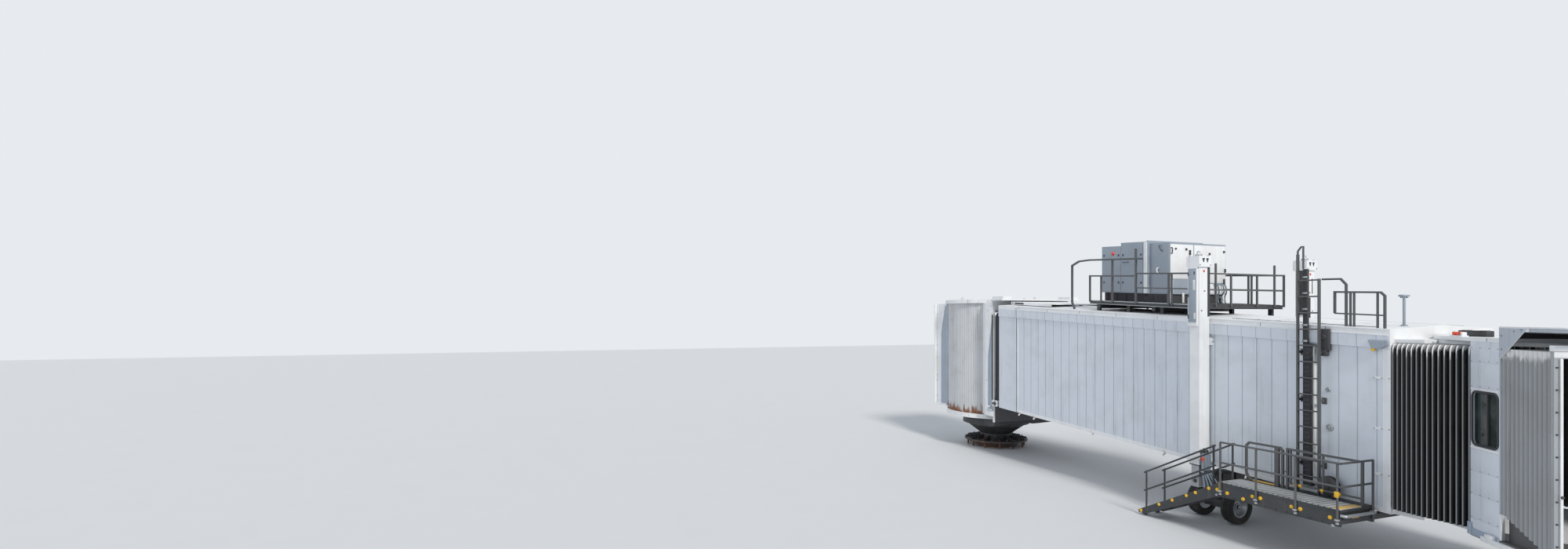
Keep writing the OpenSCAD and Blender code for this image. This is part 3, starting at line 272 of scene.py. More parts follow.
def build_weather_group():
    """Paint that has been outdoors: blotches, run-off streaks, dust, chips."""
    tree, given, sink = new_group(
        "Weathered Finish",
        [("Paint", "Dirt"), ("Blotches", "Streaks", "Chips", "Gloss")],
        [("Colour",), ("Roughness", "Height")],
    )
    place = object_place(tree)
    blotch = ranged(tree, noise(tree, place, 1.3, 6.0), 0.42, 0.72)
    runs = noise(tree, stretched(tree, place, (9.0, 9.0, 0.45)), 1.0, 5.0)
    fine_runs = noise(tree, stretched(tree, place, (38.0, 38.0, 1.2)), 1.0, 3.0)
    streak = maths(tree, "MULTIPLY", ranged(tree, runs, 0.50, 0.72), ranged(tree, fine_runs, 0.35, 0.7))
    speck = ranged(tree, noise(tree, place, 26.0, 5.0, 0.7), 0.66, 0.74)
    blotch_part = maths(tree, "MULTIPLY", blotch, given["Blotches"])
    streak_part = maths(tree, "MULTIPLY", streak, given["Streaks"])
    chip_part = maths(tree, "MULTIPLY", speck, given["Chips"])
    dirt = maths(tree, "ADD", blotch_part, streak_part, clamp=True)
    dirt = maths(tree, "ADD", dirt, chip_part, clamp=True)
    put(sink, "Colour", mixed(tree, dirt, given["Paint"], given["Dirt"]))
    grain = noise(tree, place, 55.0, 2.0)
    worn = maths(tree, "MULTIPLY_ADD", grain, 0.16, given["Gloss"])
    put(sink, "Roughness", maths(tree, "MULTIPLY_ADD", dirt, 0.3, worn, clamp=True))
    fine = maths(tree, "MULTIPLY", grain, 0.12)
    put(sink, "Height", maths(tree, "MULTIPLY_ADD", chip_part, -0.4, fine))


def build_seam_group():
    """Lines at an even pitch along one direction, as between boards or sheets."""
    tree, given, sink = new_group("Seam Lines", [(), ("Place", "Pitch", "Width")], [(), ("Mask",)])
    part = maths(tree, "FRACT", maths(tree, "DIVIDE", given["Place"], given["Pitch"]))
    centred = maths(tree, "ABSOLUTE", maths(tree, "SUBTRACT", part, 0.5))
    reach = maths(tree, "DIVIDE", given["Width"], given["Pitch"])
    put(sink, "Mask", maths(tree, "LESS_THAN", centred, reach))


def build_rust_and_highlight_group():
    """Rust that grows from a low edge, or a pale painted highlight that grows down from a high one."""
    tree, given, sink = new_group(
        "Rising Rust And Highlight", [("Base", "Rust"), ("Height", "Low", "High")], [("Colour",), ()]
    )
    wander = noise(tree, stretched(tree, object_place(tree), (7.0, 7.0, 2.0)), 1.0, 5.0)
    span = maths(tree, "SUBTRACT", given["High"], given["Low"])
    up = maths(tree, "DIVIDE", maths(tree, "SUBTRACT", given["Height"], given["Low"]), span)
    mask = ranged(tree, maths(tree, "SUBTRACT", maths(tree, "MULTIPLY", wander, 2.0), up), 0.1, 0.5)
    put(sink, "Colour", mixed(tree, mask, given["Base"], given["Rust"]))


def use_group(tree, name, values):
    """A shared group placed in a material with its own values."""
    return add_node(tree, "Group", values, node_tree=bpy.data.node_groups[name]).outputs


def shader_of(tree):
    return tree.nodes["Principled BSDF"]


def new_material(name, metallic=0.0, coat=0.0):
    material = bpy.data.materials.new(name)
    material.use_nodes = True
    shader = shader_of(material.node_tree)
    put(shader, "Metallic", metallic)
    put(shader, "Coat Weight", coat)
    return material.node_tree


def painted(name, paint, dirt, blotches, streaks, chips, gloss, metallic=0.0):
    """A material of weathered paint or bare metal."""
    tree = new_material(name, metallic)
    values = {"Paint": paint, "Dirt": dirt, "Blotches": blotches, "Streaks": streaks}
    wear = use_group(tree, "Weathered Finish", {**values, "Chips": chips, "Gloss": gloss})
    put(shader_of(tree), "Base Color", wear["Colour"])
    put(shader_of(tree), "Roughness", wear["Roughness"])
    bump = add_node(tree, "Bump", {"Strength": 1.0, "Distance": 0.002, "Height": wear["Height"]})
    put(shader_of(tree), "Normal", bump.outputs["Normal"])


def seamed(name, pitch, width, colour, depth):
    """Adds dark lines across x, at an even pitch, to a painted material."""
    tree = bpy.data.materials[name].node_tree
    shader = shader_of(tree)
    mask = use_group(tree, "Seam Lines", {"Place": axis_of(tree, 0), "Pitch": pitch, "Width": width})["Mask"]
    before = shader.inputs["Base Color"].links[0].from_socket
    put(shader, "Base Color", mixed(tree, mask, before, colour))
    bump = shader.inputs["Normal"].links[0].from_node
    height = bump.inputs["Height"].links[0].from_socket
    put(bump, "Height", maths(tree, "MULTIPLY_ADD", mask, -1.0, height))
    put(bump, "Distance", depth)


def rusted_and_highlighted(name, low, high, rust, follows=False):
    """Adds rust, and on the bellows a pale painted highlight, that spreads from the height low to about high,
    by rest_height if it follows.
    """
    tree = bpy.data.materials[name].node_tree
    shader = shader_of(tree)
    if follows:
        up = add_node(tree, "Attribute", {}, attribute_name="rest_height").outputs["Fac"]
    else:
        up = axis_of(tree, 2)
    before = shader.inputs["Base Color"].links[0].from_socket
    # The Rust input carries the rust colour, and on the bellows the colour of the painted highlight.
    values = {"Base": before, "Rust": rust, "Height": up, "Low": low, "High": high}
    put(shader, "Base Color", use_group(tree, "Rising Rust And Highlight", values)["Colour"])


# Modelling helpers


def deselect():
    if bpy.context.object is not None and bpy.context.object.mode != "OBJECT":
        bpy.ops.object.mode_set(mode="OBJECT")
    bpy.ops.object.select_all(action="DESELECT")


def pick(*objects):
    """Selects these pieces alone, with the first one active."""
    deselect()
    for obj in objects:
        obj.select_set(True)
    bpy.context.view_layer.objects.active = objects[0]


def edit_all():
    """Opens the active piece in edit mode with all of it selected."""
    bpy.ops.object.mode_set(mode="EDIT")
    bpy.ops.mesh.select_all(action="SELECT")


def settle(obj, edge=0.0, segments=2):
    """Puts a new piece's place into its mesh and rounds its edges."""
    pick(obj)
    bpy.ops.object.transform_apply(location=True, rotation=True, scale=True)
    if edge:
        edit_all()
        bpy.ops.mesh.bevel(offset=edge, segments=segments)
        bpy.ops.object.mode_set(mode="OBJECT")
    return obj


def block(low, high, edge, segments=2):
    """A box between two corners with rounded edges."""
    deselect()
    low = Vector(low)
    high = Vector(high)
    bpy.ops.mesh.primitive_cube_add(size=1, location=(low + high) / 2, scale=high - low)
    return settle(bpy.context.object, min(edge, min(high - low) * 0.45), segments)


def blocks(*rows):
    """Boxes, each given by its two corners and its edge's width."""
    return [block(row[:3], row[3:6], row[6]) for row in rows]


def cab_blocks(*rows):
    """Boxes given in the cab's own directions."""
    made = blocks(*rows)
    for obj in made:
        obj.data.transform(CAB_TURN)
    return made


def rod(start, end, radius, sides=12, edge=0.0):
    """A round bar between two points."""
    deselect()
    start = Vector(start)
    end = Vector(end)
    line = end - start
    turn = line.to_track_quat("Z", "Y").to_euler()
    bpy.ops.mesh.primitive_cylinder_add(
        vertices=sides, radius=radius, depth=line.length, location=(start + end) / 2, rotation=turn
    )
    return settle(bpy.context.object, edge)


def rods(*rows):
    """Round bars, each given by its two ends, radius, sides and edge."""
    return [rod(row[:3], row[3:6], *row[6:]) for row in rows]


def tube(points, radius, sides=3, closed=False):
    """A round tube through points; sides is the bevel's resolution."""
    curve = bpy.data.curves.new("tube", "CURVE")
    curve.dimensions = "3D"
    curve.bevel_depth = radius
    curve.bevel_resolution = sides
    curve.use_fill_caps = True
    spline = curve.splines.new("POLY")
    spline.points.add(len(points) - 1)
    for spot, point in zip(spline.points, points):
        spot.co = (*point, 1)
    spline.use_cyclic_u = closed
    obj = bpy.data.objects.new("tube", curve)
    bpy.context.scene.collection.objects.link(obj)
    pick(obj)
    bpy.ops.object.convert(target="MESH")
    return bpy.context.object


def pipe(points, bend, radius, sides, steps=5):
    """A tube whose inner corners are replaced by arcs."""
    points = [Vector(p) for p in points]
    path = [points[0]]
    for before, corner, after in zip(points, points[1:], points[2:]):
        reach = min(bend, (before - corner).length / 2, (after - corner).length / 2)
        first = corner + (before - corner).normalized() * reach
        last = corner + (after - corner).normalized() * reach
        for k in range(steps + 1):
            t = k / steps
            path.append(first * (1 - t) ** 2 + corner * 2 * t * (1 - t) + last * t * t)
    return tube(path + [points[-1]], radius, sides)


def shaped(obj, places):
    """Sets every corner of a new primitive."""
    for vert, place in zip(obj.data.vertices, places):
        vert.co = Vector(place)
    obj.data.update()
    return obj


def face_outwards(weld=0.0):
    """Points the active piece's faces outwards, after it merges its doubles."""
    edit_all()
    if weld:
        bpy.ops.mesh.remove_doubles(threshold=weld)
    bpy.ops.mesh.normals_make_consistent(inside=False)
    bpy.ops.object.mode_set(mode="OBJECT")


def prism(outline, shift, edge):
    """A flat outline of points drawn out by a shift."""
    deselect()
    bpy.ops.mesh.primitive_circle_add(vertices=len(outline), radius=1, fill_type="NGON")
    obj = shaped(bpy.context.object, outline)
    edit_all()
    bpy.ops.mesh.extrude_region_move(TRANSFORM_OT_translate={"value": Vector(shift)})
    bpy.ops.object.mode_set(mode="OBJECT")
    face_outwards()
    return settle(obj, edge, 1)


def plate(y, corners, depth, edge):
    """A plate from corners in x and z, drawn out by depth across the tunnel."""
    return prism([(x, y, z) for x, z in corners], (0, depth, 0), edge)


def bars(line, *rows):
    """Bars along the tunnel: x0, x1, y0, y1, two heights above a line, and the edge's width."""
    made = []
    for x0, x1, y0, y1, up0, up1, edge in rows:
        low, high = (line(x0), line(x1))
        corners = [(x0, low + up0), (x1, high + up0), (x1, high + up1), (x0, low + up1)]
        made.append(plate(y0, corners, y1 - y0, edge))
    return made


def grid_mesh(rows):
    """A grid primitive whose corners are moved to rows of points."""
    deselect()
    columns = len(rows[0])
    bpy.ops.mesh.primitive_grid_add(x_subdivisions=columns - 1, y_subdivisions=len(rows) - 1)
    return shaped(bpy.context.object, [point for row in rows for point in row])


def sheet_mesh(rows, thickness=FABRIC):
    """A grid of points made a sheet of even thickness."""
    obj = grid_mesh(rows)
    face_outwards()
    modifier = obj.modifiers.new("Thickness", "SOLIDIFY")
    modifier.thickness = thickness
    modifier.offset = 0
    bpy.ops.object.modifier_apply(modifier=modifier.name)
    face_outwards()
    return obj


def lathe(profile, centre, axis, steps):
    """A closed profile of (radius, place along the axis) turned about an axis."""
    axis = Vector(axis).normalized()
    side = axis.orthogonal().normalized()
    turns = [Matrix.Rotation(2 * math.pi * k / steps, 3, axis) @ side for k in range(steps + 1)]
    grid_mesh([[Vector(centre) + axis * along + out * reach for out in turns] for reach, along in profile])
    face_outwards(weld=0.0001)
    return bpy.context.object


def ring(centre, axis, reach, thick, steps):
    """A round bar bent into a ring."""
    turns = [2 * math.pi * k / 8 for k in range(9)]
    profile = [(reach + thick * math.cos(turn), thick * math.sin(turn)) for turn in turns]
    return lathe(profile, centre, axis, steps)


def on_circle(reach, degrees, z=0.0):
    """A point on a level circle about the origin."""
    turn = math.radians(degrees)
    return Vector((reach * math.cos(turn), reach * math.sin(turn), z))


def copy_moved(obj, matrix):
    """A copy with its own mesh, moved in its mesh."""
    other = obj.copy()
    other.data = obj.data.copy()
    other.data.transform(matrix)
    bpy.context.scene.collection.objects.link(other)
    return other


def merged(objects):
    """Several pieces made one."""
    pick(*objects)
    if len(objects) > 1:
        bpy.ops.object.join()
    return bpy.context.object


def mirrored_pair(objects, mirror):
    """Pieces made one, and its mirror image with its faces pointing outwards."""
    near = merged(objects)
    far = copy_moved(near, mirror)
    far.data.flip_normals()
    return [near, far]


def done(objects, name, finish, body="outer_tunnel", slot=None):
    """Names a finished piece, gives it its material and lets it ride on its body."""
    obj = merged(objects)
    obj.name = name
    obj.data.name = name
    obj.data.materials.clear()
    obj.data.materials.append(bpy.data.materials[finish])
    pick(obj)
    bpy.ops.object.shade_smooth_by_angle(angle=SMOOTH_BELOW)
    slot = slot or SLOTS[finish]
    if body:
        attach(obj, body)
    return obj


def twin(objects, name, finish, body="outer_tunnel"):
    """A finished piece on both sides of the tunnel."""
    return done(mirrored_pair(objects, TUNNEL_MIRROR), name, finish, body)


def cab_twin(objects, name, finish, body="cab"):
    """A finished piece on both sides of the cab."""
    return done(mirrored_pair(objects, CAB_MIRROR), name, finish, body)


def keep_height(obj):
    """Stores each point's height at rest, so that a pattern follows the fabric."""
    kept = obj.data.attributes.new("rest_height", "FLOAT", "POINT")
    for vert, item in zip(obj.data.vertices, kept.data):
        item.value = vert.co.z


def bolts(places, axis, width):
    """Hexagonal heads on washers: one is modelled, then copied to every place."""
    axis = Vector(axis).normalized()
    first = Vector(places[0])
    washer = rod(first - axis * 0.004, first + axis * 0.004, width * 0.62, 12)
    head = rod(first, first + axis * width * 0.55, width * 0.5, 6)
    pattern = merged([washer, head])
    return [pattern] + [copy_moved(pattern, Matrix.Translation(Vector(p) - first)) for p in places[1:]]


def reflectors(places, radius):
    """Round reflectors in raised holders, facing out from the near side."""
    profile = [(0, 0.022), (radius * 0.6, 0.020), (radius * 0.92, 0.014)]
    profile += [(radius, 0.006), (radius, 0), (0, 0)]
    return [lathe(profile, place, OUT, 20) for place in places]


# The pieces


class BRIDGE_OT_finishes(bpy.types.Operator):
    """Builds the finishes and gives every frame node its own"""

    bl_idname = "bridge.finishes"
    bl_label = "Finishes"

    def execute(self, context):
        tone = context.scene.bridge_colours
        build_weather_group()
        build_seam_group()
        build_rust_and_highlight_group()
        for name, paint, *wear in (
            ("wall_paint", tone.wall, 0.12, 0.30, 0.08, 0.38),
            ("plain_white", tone.roof, 0.12, 0.20, 0.06, 0.38),
            ("panel_blue", tone.panel, 0.10, 0.30, 0.08, 0.35),
            ("base_paint", tone.dark, 0.25, 0.30, 0.15, 0.45),
            ("dark_paint", tone.dark, 0.20, 0.35, 0.12, 0.42),
            ("rail_paint", tone.rail, 0.15, 0.25, 0.15, 0.40),
            ("zinc", (0.42, 0.44, 0.46), 0.20, 0.25, 0.08, 0.32, 0.6),
            ("steel_rod", (0.35, 0.36, 0.37), 0.10, 0.10, 0.05, 0.22, 0.9),
            ("slat_metal", tone.slat, 0.20, 0.45, 0.10, 0.36, 0.2),
            ("black_rubber", tone.rubber, 0.08, 0.12, 0.05, 0.55),
            ("bellows_rubber", tone.rubber, 0.08, 0.12, 0.05, 0.55),
            ("fold_edge", tone.fold, 0.20, 0.40, 0.10, 0.60),
            ("closure_cloth", tone.pleat, 0.15, 0.35, 0.05, 0.70),
            ("hood_paint", tone.hood, 0.10, 0.25, 0.06, 0.36),
            ("unit_paint", tone.unit, 0.10, 0.25, 0.06, 0.34),
            ("hose_skin", tone.hose, 0.15, 0.20, 0.05, 0.50),
            ("tyre_rubber", (0.018, 0.018, 0.019), 0.45, 0.10, 0.10, 0.70),
            ("reflector", tone.reflector, 0.10, 0.15, 0.05, 0.30),
            ("signal_red", tone.signal, 0.05, 0.10, 0.02, 0.20),
            ("label_white", (0.72, 0.72, 0.70), 0.10, 0.15, 0.05, 0.40),
            ("deck_boards", tone.deck, 0.35, 0.10, 0.15, 0.60),
            ("floor_plate", (0.10, 0.10, 0.105), 0.30, 0.10, 0.20, 0.45),
            ("roof_sheets", tone.roof, 0.14, 0.10, 0.15, 0.45),
        ):
            painted(name, paint, tone.dirt, *wear)
        rusted_and_highlighted("base_paint", -0.5, 0.32, tone.rust)
        rusted_and_highlighted("slat_metal", RIM_TOP - 0.25, RIM_TOP + 0.35, tone.rust)
        # Pale tops on the bellows' skin and fold edges: painted highlight where the folds roll over at the
        # top. The closure's fabric is made paler towards its top in the same way.
        rusted_and_highlighted("bellows_rubber", CANOPY_Z + 0.02, CANOPY_Z - 0.13, (0.30, 0.30, 0.30), follows=True)
        rusted_and_highlighted("fold_edge", CANOPY_Z + 0.05, CANOPY_Z - 0.25, (0.80, 0.80, 0.79), follows=True)
        rusted_and_highlighted("closure_cloth", CANOPY_Z + 0.03, CANOPY_Z - 0.20, (0.72, 0.72, 0.71), follows=True)
        seamed("deck_boards", 0.10, 0.008, (0.05, 0.05, 0.05), 0.006)
        seamed("floor_plate", 1.2, 0.006, (0.02, 0.02, 0.02), 0.004)
        seamed("roof_sheets", 1.22, 0.008, (0.35, 0.35, 0.34), 0.004)
        self.make_glass(tone.glass)
        self.dress()
        return {"FINISHED"}

    def make_glass(self, colour):
        """Dark tinted glass that mirrors its surroundings."""
        tree = new_material("dark_glass", coat=0.4)
        smear = ranged(tree, noise(tree, object_place(tree), 2.5), 0.4, 0.8)
        put(shader_of(tree), "Base Color", mixed(tree, smear, colour, (0.035, 0.05, 0.045)))
        put(shader_of(tree), "Roughness", maths(tree, "MULTIPLY_ADD", smear, 0.12, 0.05))

    def dress(self):
        """Gives each frame node its finish."""
        looks = {
            "base_paint": "pedestal",
            "plain_white": "rotunda_floor corridor_frame portal_frame end_frame lift_columns cab_canopy"
            " cab_platform roof_flashing outer_floor",
            "roof_sheets": "outer_roof inner_roof rotunda_roof cab_roof",
            "wall_paint": "outer_near_wall outer_far_wall inner_near_wall inner_far_wall cab_near_side"
            " cab_far_side",
            "floor_plate": "portal_floor inner_floor cab_floor",
            "dark_paint": "turntable roof_platform carriage_beam near_truck far_truck service_stair"
            " service_deck",
            "rail_paint": "roof_rails wall_ladder deck_rails",
            "unit_paint": "air_handler",
            "zinc": "lift_legs closure_frame",
            "steel_rod": "pitch_pins",
            "black_rubber": "cable_trough portal_seal cab_bellows",
            "slat_metal": "slat_curtains",
            "tyre_rubber": "near_wheels far_wheels",
            "dark_glass": "cab_windows",
            "closure_cloth": "closure_bellows",
        }
        for look, nodes in looks.items():
            for node in nodes.split():
                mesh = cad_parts[node].data
                mesh.materials.clear()
                mesh.materials.append(bpy.data.materials[look])


class BRIDGE_OT_curtains(bpy.types.Operator):
    """Slatted roller curtains round the rotunda"""

    bl_idname = "bridge.curtains"
    bl_label = "Rotunda Curtains"

    def execute(self, context):
        sizes = context.scene.bridge_sizes
        first, last = (52, 119)
        step = (last - first) / sizes.slats
        half = step / 2 * 0.94
        crown = sizes.slat_rise
        section = [(-1, -0.006), (-0.85, 0), (-0.4, crown * 0.7), (0, crown)]
        section += [(0.4, crown * 0.7), (0.85, 0), (1, -0.006)]
        levels = (RIM_TOP + 0.002, 2.1, 3.0, 3.9, DRUM_TOP - 0.002)
        rows = [[on_circle(DRUM_R + out, half * share, z) for share, out in section] for z in levels]
        pattern = sheet_mesh(rows, 0.008)
        made = []
        for k in range(sizes.slats):
            turn = math.radians(first + (k + 0.5) * step)
            made.append(copy_moved(pattern, Matrix.Rotation(-turn, 4, "Z")))
        bpy.data.objects.remove(pattern)
        for side, obj in zip(("near", "far"), mirrored_pair(made, TUNNEL_MIRROR)):
            done([obj], side + "_curtain", "slat_metal", None)
            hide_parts("slat_curtains")
            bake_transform(obj)
        return {"FINISHED"}


def bowed_path(start, end, bow, count):
    """Points and outward directions along a bowed line seen from above."""
    start = Vector(start[:2])
    line = Vector(end[:2]) - start
    out = Vector((line.y, -line.x)).normalized()
    made = []
    for k in range(count + 1):
        t = k / count
        spot = start + line * t + out * bow * math.sin(math.pi * t)
        slant = line + out * bow * math.pi * math.cos(math.pi * t)
        made.append((spot, Vector((slant.y, -slant.x)).normalized()))
    return made


class BRIDGE_OT_cab_bellows(bpy.types.Operator):
    """Folded bellows on both sides behind the cab"""

    bl_idname = "bridge.cab_bellows"
    bl_label = "Cab Bellows"

    def execute(self, context):
        sizes = context.scene.bridge_sizes
        for side, sign, bow in (("near", -1, 0.06), ("far", 1, -0.33)):
            start = Vector((OUTER_X1 + 0.004, sign * (HALF_W - 0.04), 0))
            end = cab_point(CAB_BACK - 0.004, sign * (CAB_HALF - 0.04), 0)
            self.fold(side, start, end, bow, sizes.folds)
        return {"FINISHED"}

    def fold(self, side, start, end, bow, folds):
        """One pleated side, the flap on its top and lighter grey lines along the crests of its folds."""
        parts = 8
        depth = 0.075
        valley = 0.038
        z0 = CAB_FLOOR + 0.008
        z1 = CANOPY_Z - 0.008
        shoulder = 0.16
        flip = 1 if side == "near" else -1
        path = bowed_path(start, end, bow, folds * parts)
        heights = [z0, z0 + 0.03, z0 + 0.08, 2.0, 3.0]
        heights += [z1 - shoulder, z1 - shoulder * 0.6, z1 - shoulder * 0.3, z1 - shoulder * 0.1, z1]
        rows = []
        for z in heights:
            up = max(0.0, (z - (z1 - shoulder)) / shoulder)
            fill = math.sqrt(max(0.0, 1 - up * up))
            row = []
            for k, (spot, normal) in enumerate(path):
                wave = math.sin(math.pi * (k % parts) / parts) ** 0.7
                row.append((*(spot + normal * (wave * depth * fill - valley) * flip), z))
            rows.append(row)
        for inward in (0.12, 0.5):
            rows.append([(*(spot - normal * inward * flip), z1) for spot, normal in path])
        skin = done([sheet_mesh(rows)], side + "_bellows", "bellows_rubber", None)
        edges = []
        for spot, normal in path[parts // 2 :: parts]:
            crest = spot + normal * 0.036 * flip
            lean = spot - normal * 0.02 * flip
            points = [(*crest, z0 + 0.01), (*crest, z1 - shoulder * 0.9), (*crest, z1 - shoulder * 0.45)]
            points += [(*(crest + lean) / 2, z1 - shoulder * 0.12), (*lean, z1 - 0.008)]
            edges.append(pipe(points, 0.03, 0.009, 2, 3))
        strip = done(edges, side + "_fold_edges", "fold_edge", None)
        for obj in (skin, strip):
            keep_height(obj)
            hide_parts("cab_bellows")
            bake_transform(obj)
            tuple(start)
            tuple(end)


class BRIDGE_OT_closure(bpy.types.Operator):
    """Pleated closure that reaches the aircraft"""

    bl_idname = "bridge.closure"
    bl_label = "Closure"

    def execute(self, context):
        places = self.places(context.scene.bridge_sizes.pleats)
        for name, rows in (
            ("near_closure", self.side(-1, places)),
            ("far_closure", self.side(1, places)),
            ("top_closure", self.top(places)),
        ):
            obj = done([sheet_mesh(rows)], name, "closure_cloth", None)
            keep_height(obj)
            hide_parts("closure_bellows")
            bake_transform(obj)
        return {"FINISHED"}

    def places(self, pleats):
        """Places ahead of the cab and how far out each lies, from valley to crest."""
        parts = 6
        a0 = CAB_FRONT + 0.004
        a1 = CLOSURE_A - 0.064
        count = pleats * parts
        made = []
        for k in range(count + 1):
            wave = math.sin(math.pi * (k % parts) / parts) ** 0.8
            made.append((a0 + (a1 - a0) * k / count, wave, k / count))
        return made

    def side(self, sign, places):
        """One pleated side with its slanted foot."""
        top = CANOPY_Z - 0.026
        outer = CAB_HALF - 0.006
        rows = []
        for t in (0.0, 0.02, 0.25, 0.5, 0.75, 1.0):
            row = []
            for ahead, wave, share in places:
                foot = CAB_FLOOR + 0.41 - 0.39 * share
                left = sign * (outer - 0.052 * (1 - wave))
                row.append(cab_point(ahead, left, foot + (top - foot) * t))
            rows.append(row)
        return rows

    def top(self, places):
        """The pleated top."""
        height = CANOPY_Z - 0.028
        rows = []
        for left in (-1.384, -0.7, 0.0, 0.7, 1.384):
            rows.append([cab_point(ahead, left, height - 0.05 * (1 - wave)) for ahead, wave, share in places])
        return rows


class BRIDGE_OT_portal_seal(bpy.types.Operator):
    """Folded rubber between the portal and the inner tunnel"""

    bl_idname = "bridge.portal_seal"
    bl_label = "Portal Seal"

    def execute(self, context):
        x0, x1 = (1.792, 2.118)
        parts = 8
        low, high = (1.802, 4.548)
        out = 1.418
        count = 3 * parts
        half = [(-1, low), (-1, 2.6), (-1, 3.6), (-1, high - 0.12), (-0.96, high - 0.035), (-0.9, high)]
        half.append((-0.3, high))
        rows = []
        for side, z in half + [(-side, z) for side, z in reversed(half)]:
            row = []
            for k in range(count + 1):
                dip = 0.024 * (1 - math.sin(math.pi * (k % parts) / parts))
                top_dip = dip if z > high - 0.2 else 0.0
                row.append((x0 + (x1 - x0) * k / count, side * (out - dip), z - top_dip))
            rows.append(row)
        obj = done([sheet_mesh(rows)], "portal_seal_folds", "black_rubber", None)
        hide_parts("portal_seal")
        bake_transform(obj)
        return {"FINISHED"}


class BRIDGE_OT_wheels(bpy.types.Operator):
    """Tyres with treads, rims and wheel nuts"""

    bl_idname = "bridge.wheels"
    bl_label = "Wheels"

    def execute(self, context):
        centre = Vector((LIFT_X - WHEEL_REACH, NEAR_TRUCK_Y, AXLE_Z))
        wheel = self.tyre(centre, context.scene.bridge_sizes.tread_blocks * 2)
        rim = self.rim(centre)
        for side, y in TRUCKS:
            shift = Matrix.Translation((0, y - NEAR_TRUCK_Y, 0))
            middle = Matrix.Translation((LIFT_X, y, 0))
            turned = middle @ Matrix.Rotation(math.pi, 4, "Z") @ middle.inverted() @ shift
            tyres = [copy_moved(wheel, matrix) for matrix in (shift, turned)]
            tyre = done(tyres, side + "_tyres", "tyre_rubber", side + "_axle")
            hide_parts(side + "_wheels")
            rims = [copy_moved(rim, matrix) for matrix in (shift, turned)]
            done(rims, side + "_rims", "zinc", side + "_axle")
        bpy.data.objects.remove(wheel)
        bpy.data.objects.remove(rim)
        return {"FINISHED"}

    def tyre(self, centre, steps):
        """A solid tyre turned from its section, with cross grooves."""
        half = 0.12
        r = AXLE_Z
        groove = 0.012
        side = [(0.215, 0.035 - half), (0.235, 0.012 - half), (0.30, 0.002 - half), (r - 0.03, 0.004 - half)]
        side += [(r - 0.008, 0.02 - half), (r, 0.045 - half), (r, -0.03), (r - groove, -0.028)]
        side += [(r - groove, -0.018), (r, -0.016)]
        profile = side + [(reach, -along) for reach, along in reversed(side)] + side[:1]
        obj = lathe(profile, centre, ALONG, steps)
        for vert in obj.data.vertices:
            place = vert.co - centre
            reach = math.hypot(place.y, place.z)
            turn = round(math.atan2(place.z, place.y) / (2 * math.pi) * steps)
            if reach > r - 0.004 and turn % 4 == 0 and abs(place.x) > 0.03:
                vert.co.y -= place.y / reach * groove
                vert.co.z -= place.z / reach * groove
        return obj

    def rim(self, centre):
        """A dished steel rim with its hub and nuts."""
        profile = [(0.0, 0.03), (0.05, 0.03), (0.055, 0.045), (0.085, 0.045), (0.09, 0.02)]
        profile += [(0.15, 0.012), (0.17, 0.04), (0.195, 0.085), (0.222, 0.088), (0.222, 0.08)]
        profile += [(0.20, 0.07), (0.20, -0.07), (0.222, -0.085), (0.19, -0.085), (0.0, -0.03)]
        disc = lathe([(radius, -along) for radius, along in profile], centre, ALONG, 40)
        places = []
        for k in range(8):
            spot = on_circle(0.12, 45 * k)
            places.append((centre.x - 0.014, centre.y + spot.x, centre.z + spot.y))
        return merged([disc] + bolts(places, (-1, 0, 0), 0.024))


class BRIDGE_OT_rotunda_trim(bpy.types.Operator):
    """Anchor nuts, roof eyes and corridor trim of the rotunda"""

    bl_idname = "bridge.rotunda_trim"
    bl_label = "Rotunda Trim"

    def execute(self, context):
        size = context.scene.bridge_sizes.bolt_size
        feet = [on_circle(0.93, (k + 0.5) * 30, 0.2453) for k in range(12)]
        studs = [rod(p - Vector((0, 0, 0.05)), p + Vector((0, 0, 0.075)), 0.014, 12, 0.003) for p in feet]
        done(bolts(feet, UP, size * 2) + studs, "anchor_nuts", "base_paint", "rotunda")
        made = self.rim_screws(size)
        for degrees in (35, 95, 265, 325):
            spot = on_circle(1.3, degrees, 4.962)
            made.append(rod(spot, spot + Vector((0, 0, 0.014)), 0.045, 16, 0.003))
            made.append(ring(spot + Vector((0, 0, 0.05)), ALONG, 0.036, 0.009, 20))
        done(made, "rotunda_fixings", "zinc", "rotunda")
        # A thin blue-grey plate below a diagonal on the corridor's jamb: painted shade of a recess.
        corners = [(-1.124, 1.368), (-0.792, 1.368), (-0.792, 4.782), (-0.864, 4.782), (-1.124, 3.80)]
        twin([plate(-1.46, corners, -0.004, 0.0015)], "corridor_lining", "panel_blue", "rotunda")
        strip = blocks(
            (-1.352, -1.492, 1.31, -1.30, -1.479, 4.83, 0.003),
            (-1.35, -1.53, 1.302, -1.14, -1.479, 1.345, 0.006),
        )
        strip += rods((-1.37, -1.585, 1.36, -1.37, -1.54, 1.36, 0.028, 16, 0.006))
        twin(strip, "corridor_strip", "plain_white", "rotunda")
        places = [(-1.326, -1.492, z) for z in (1.6, 2.15, 2.35, 2.95, 3.4, 4.0, 4.5)]
        places += [(-1.05, -1.464, 2.3), (-0.86, -1.464, 3.1)]
        twin(bolts(places, OUT, size * 0.8), "corridor_screws", "zinc", "rotunda")
        return {"FINISHED"}

    def rim_screws(self, size):
        """Screws through the floor's rim and the roof's rim."""
        made = []
        count = 28
        for limit, reach, z in ((148, 1.642, 1.15), (144, 1.70, 4.91)):
            for k in range(count):
                out = on_circle(1, limit * (2 * (k + 0.5) / count - 1))
                spot = out * reach + Vector((0, 0, z))
                made.append(rod(spot - out * 0.004, spot + out * 0.006, size * 0.4, 8))
        return made


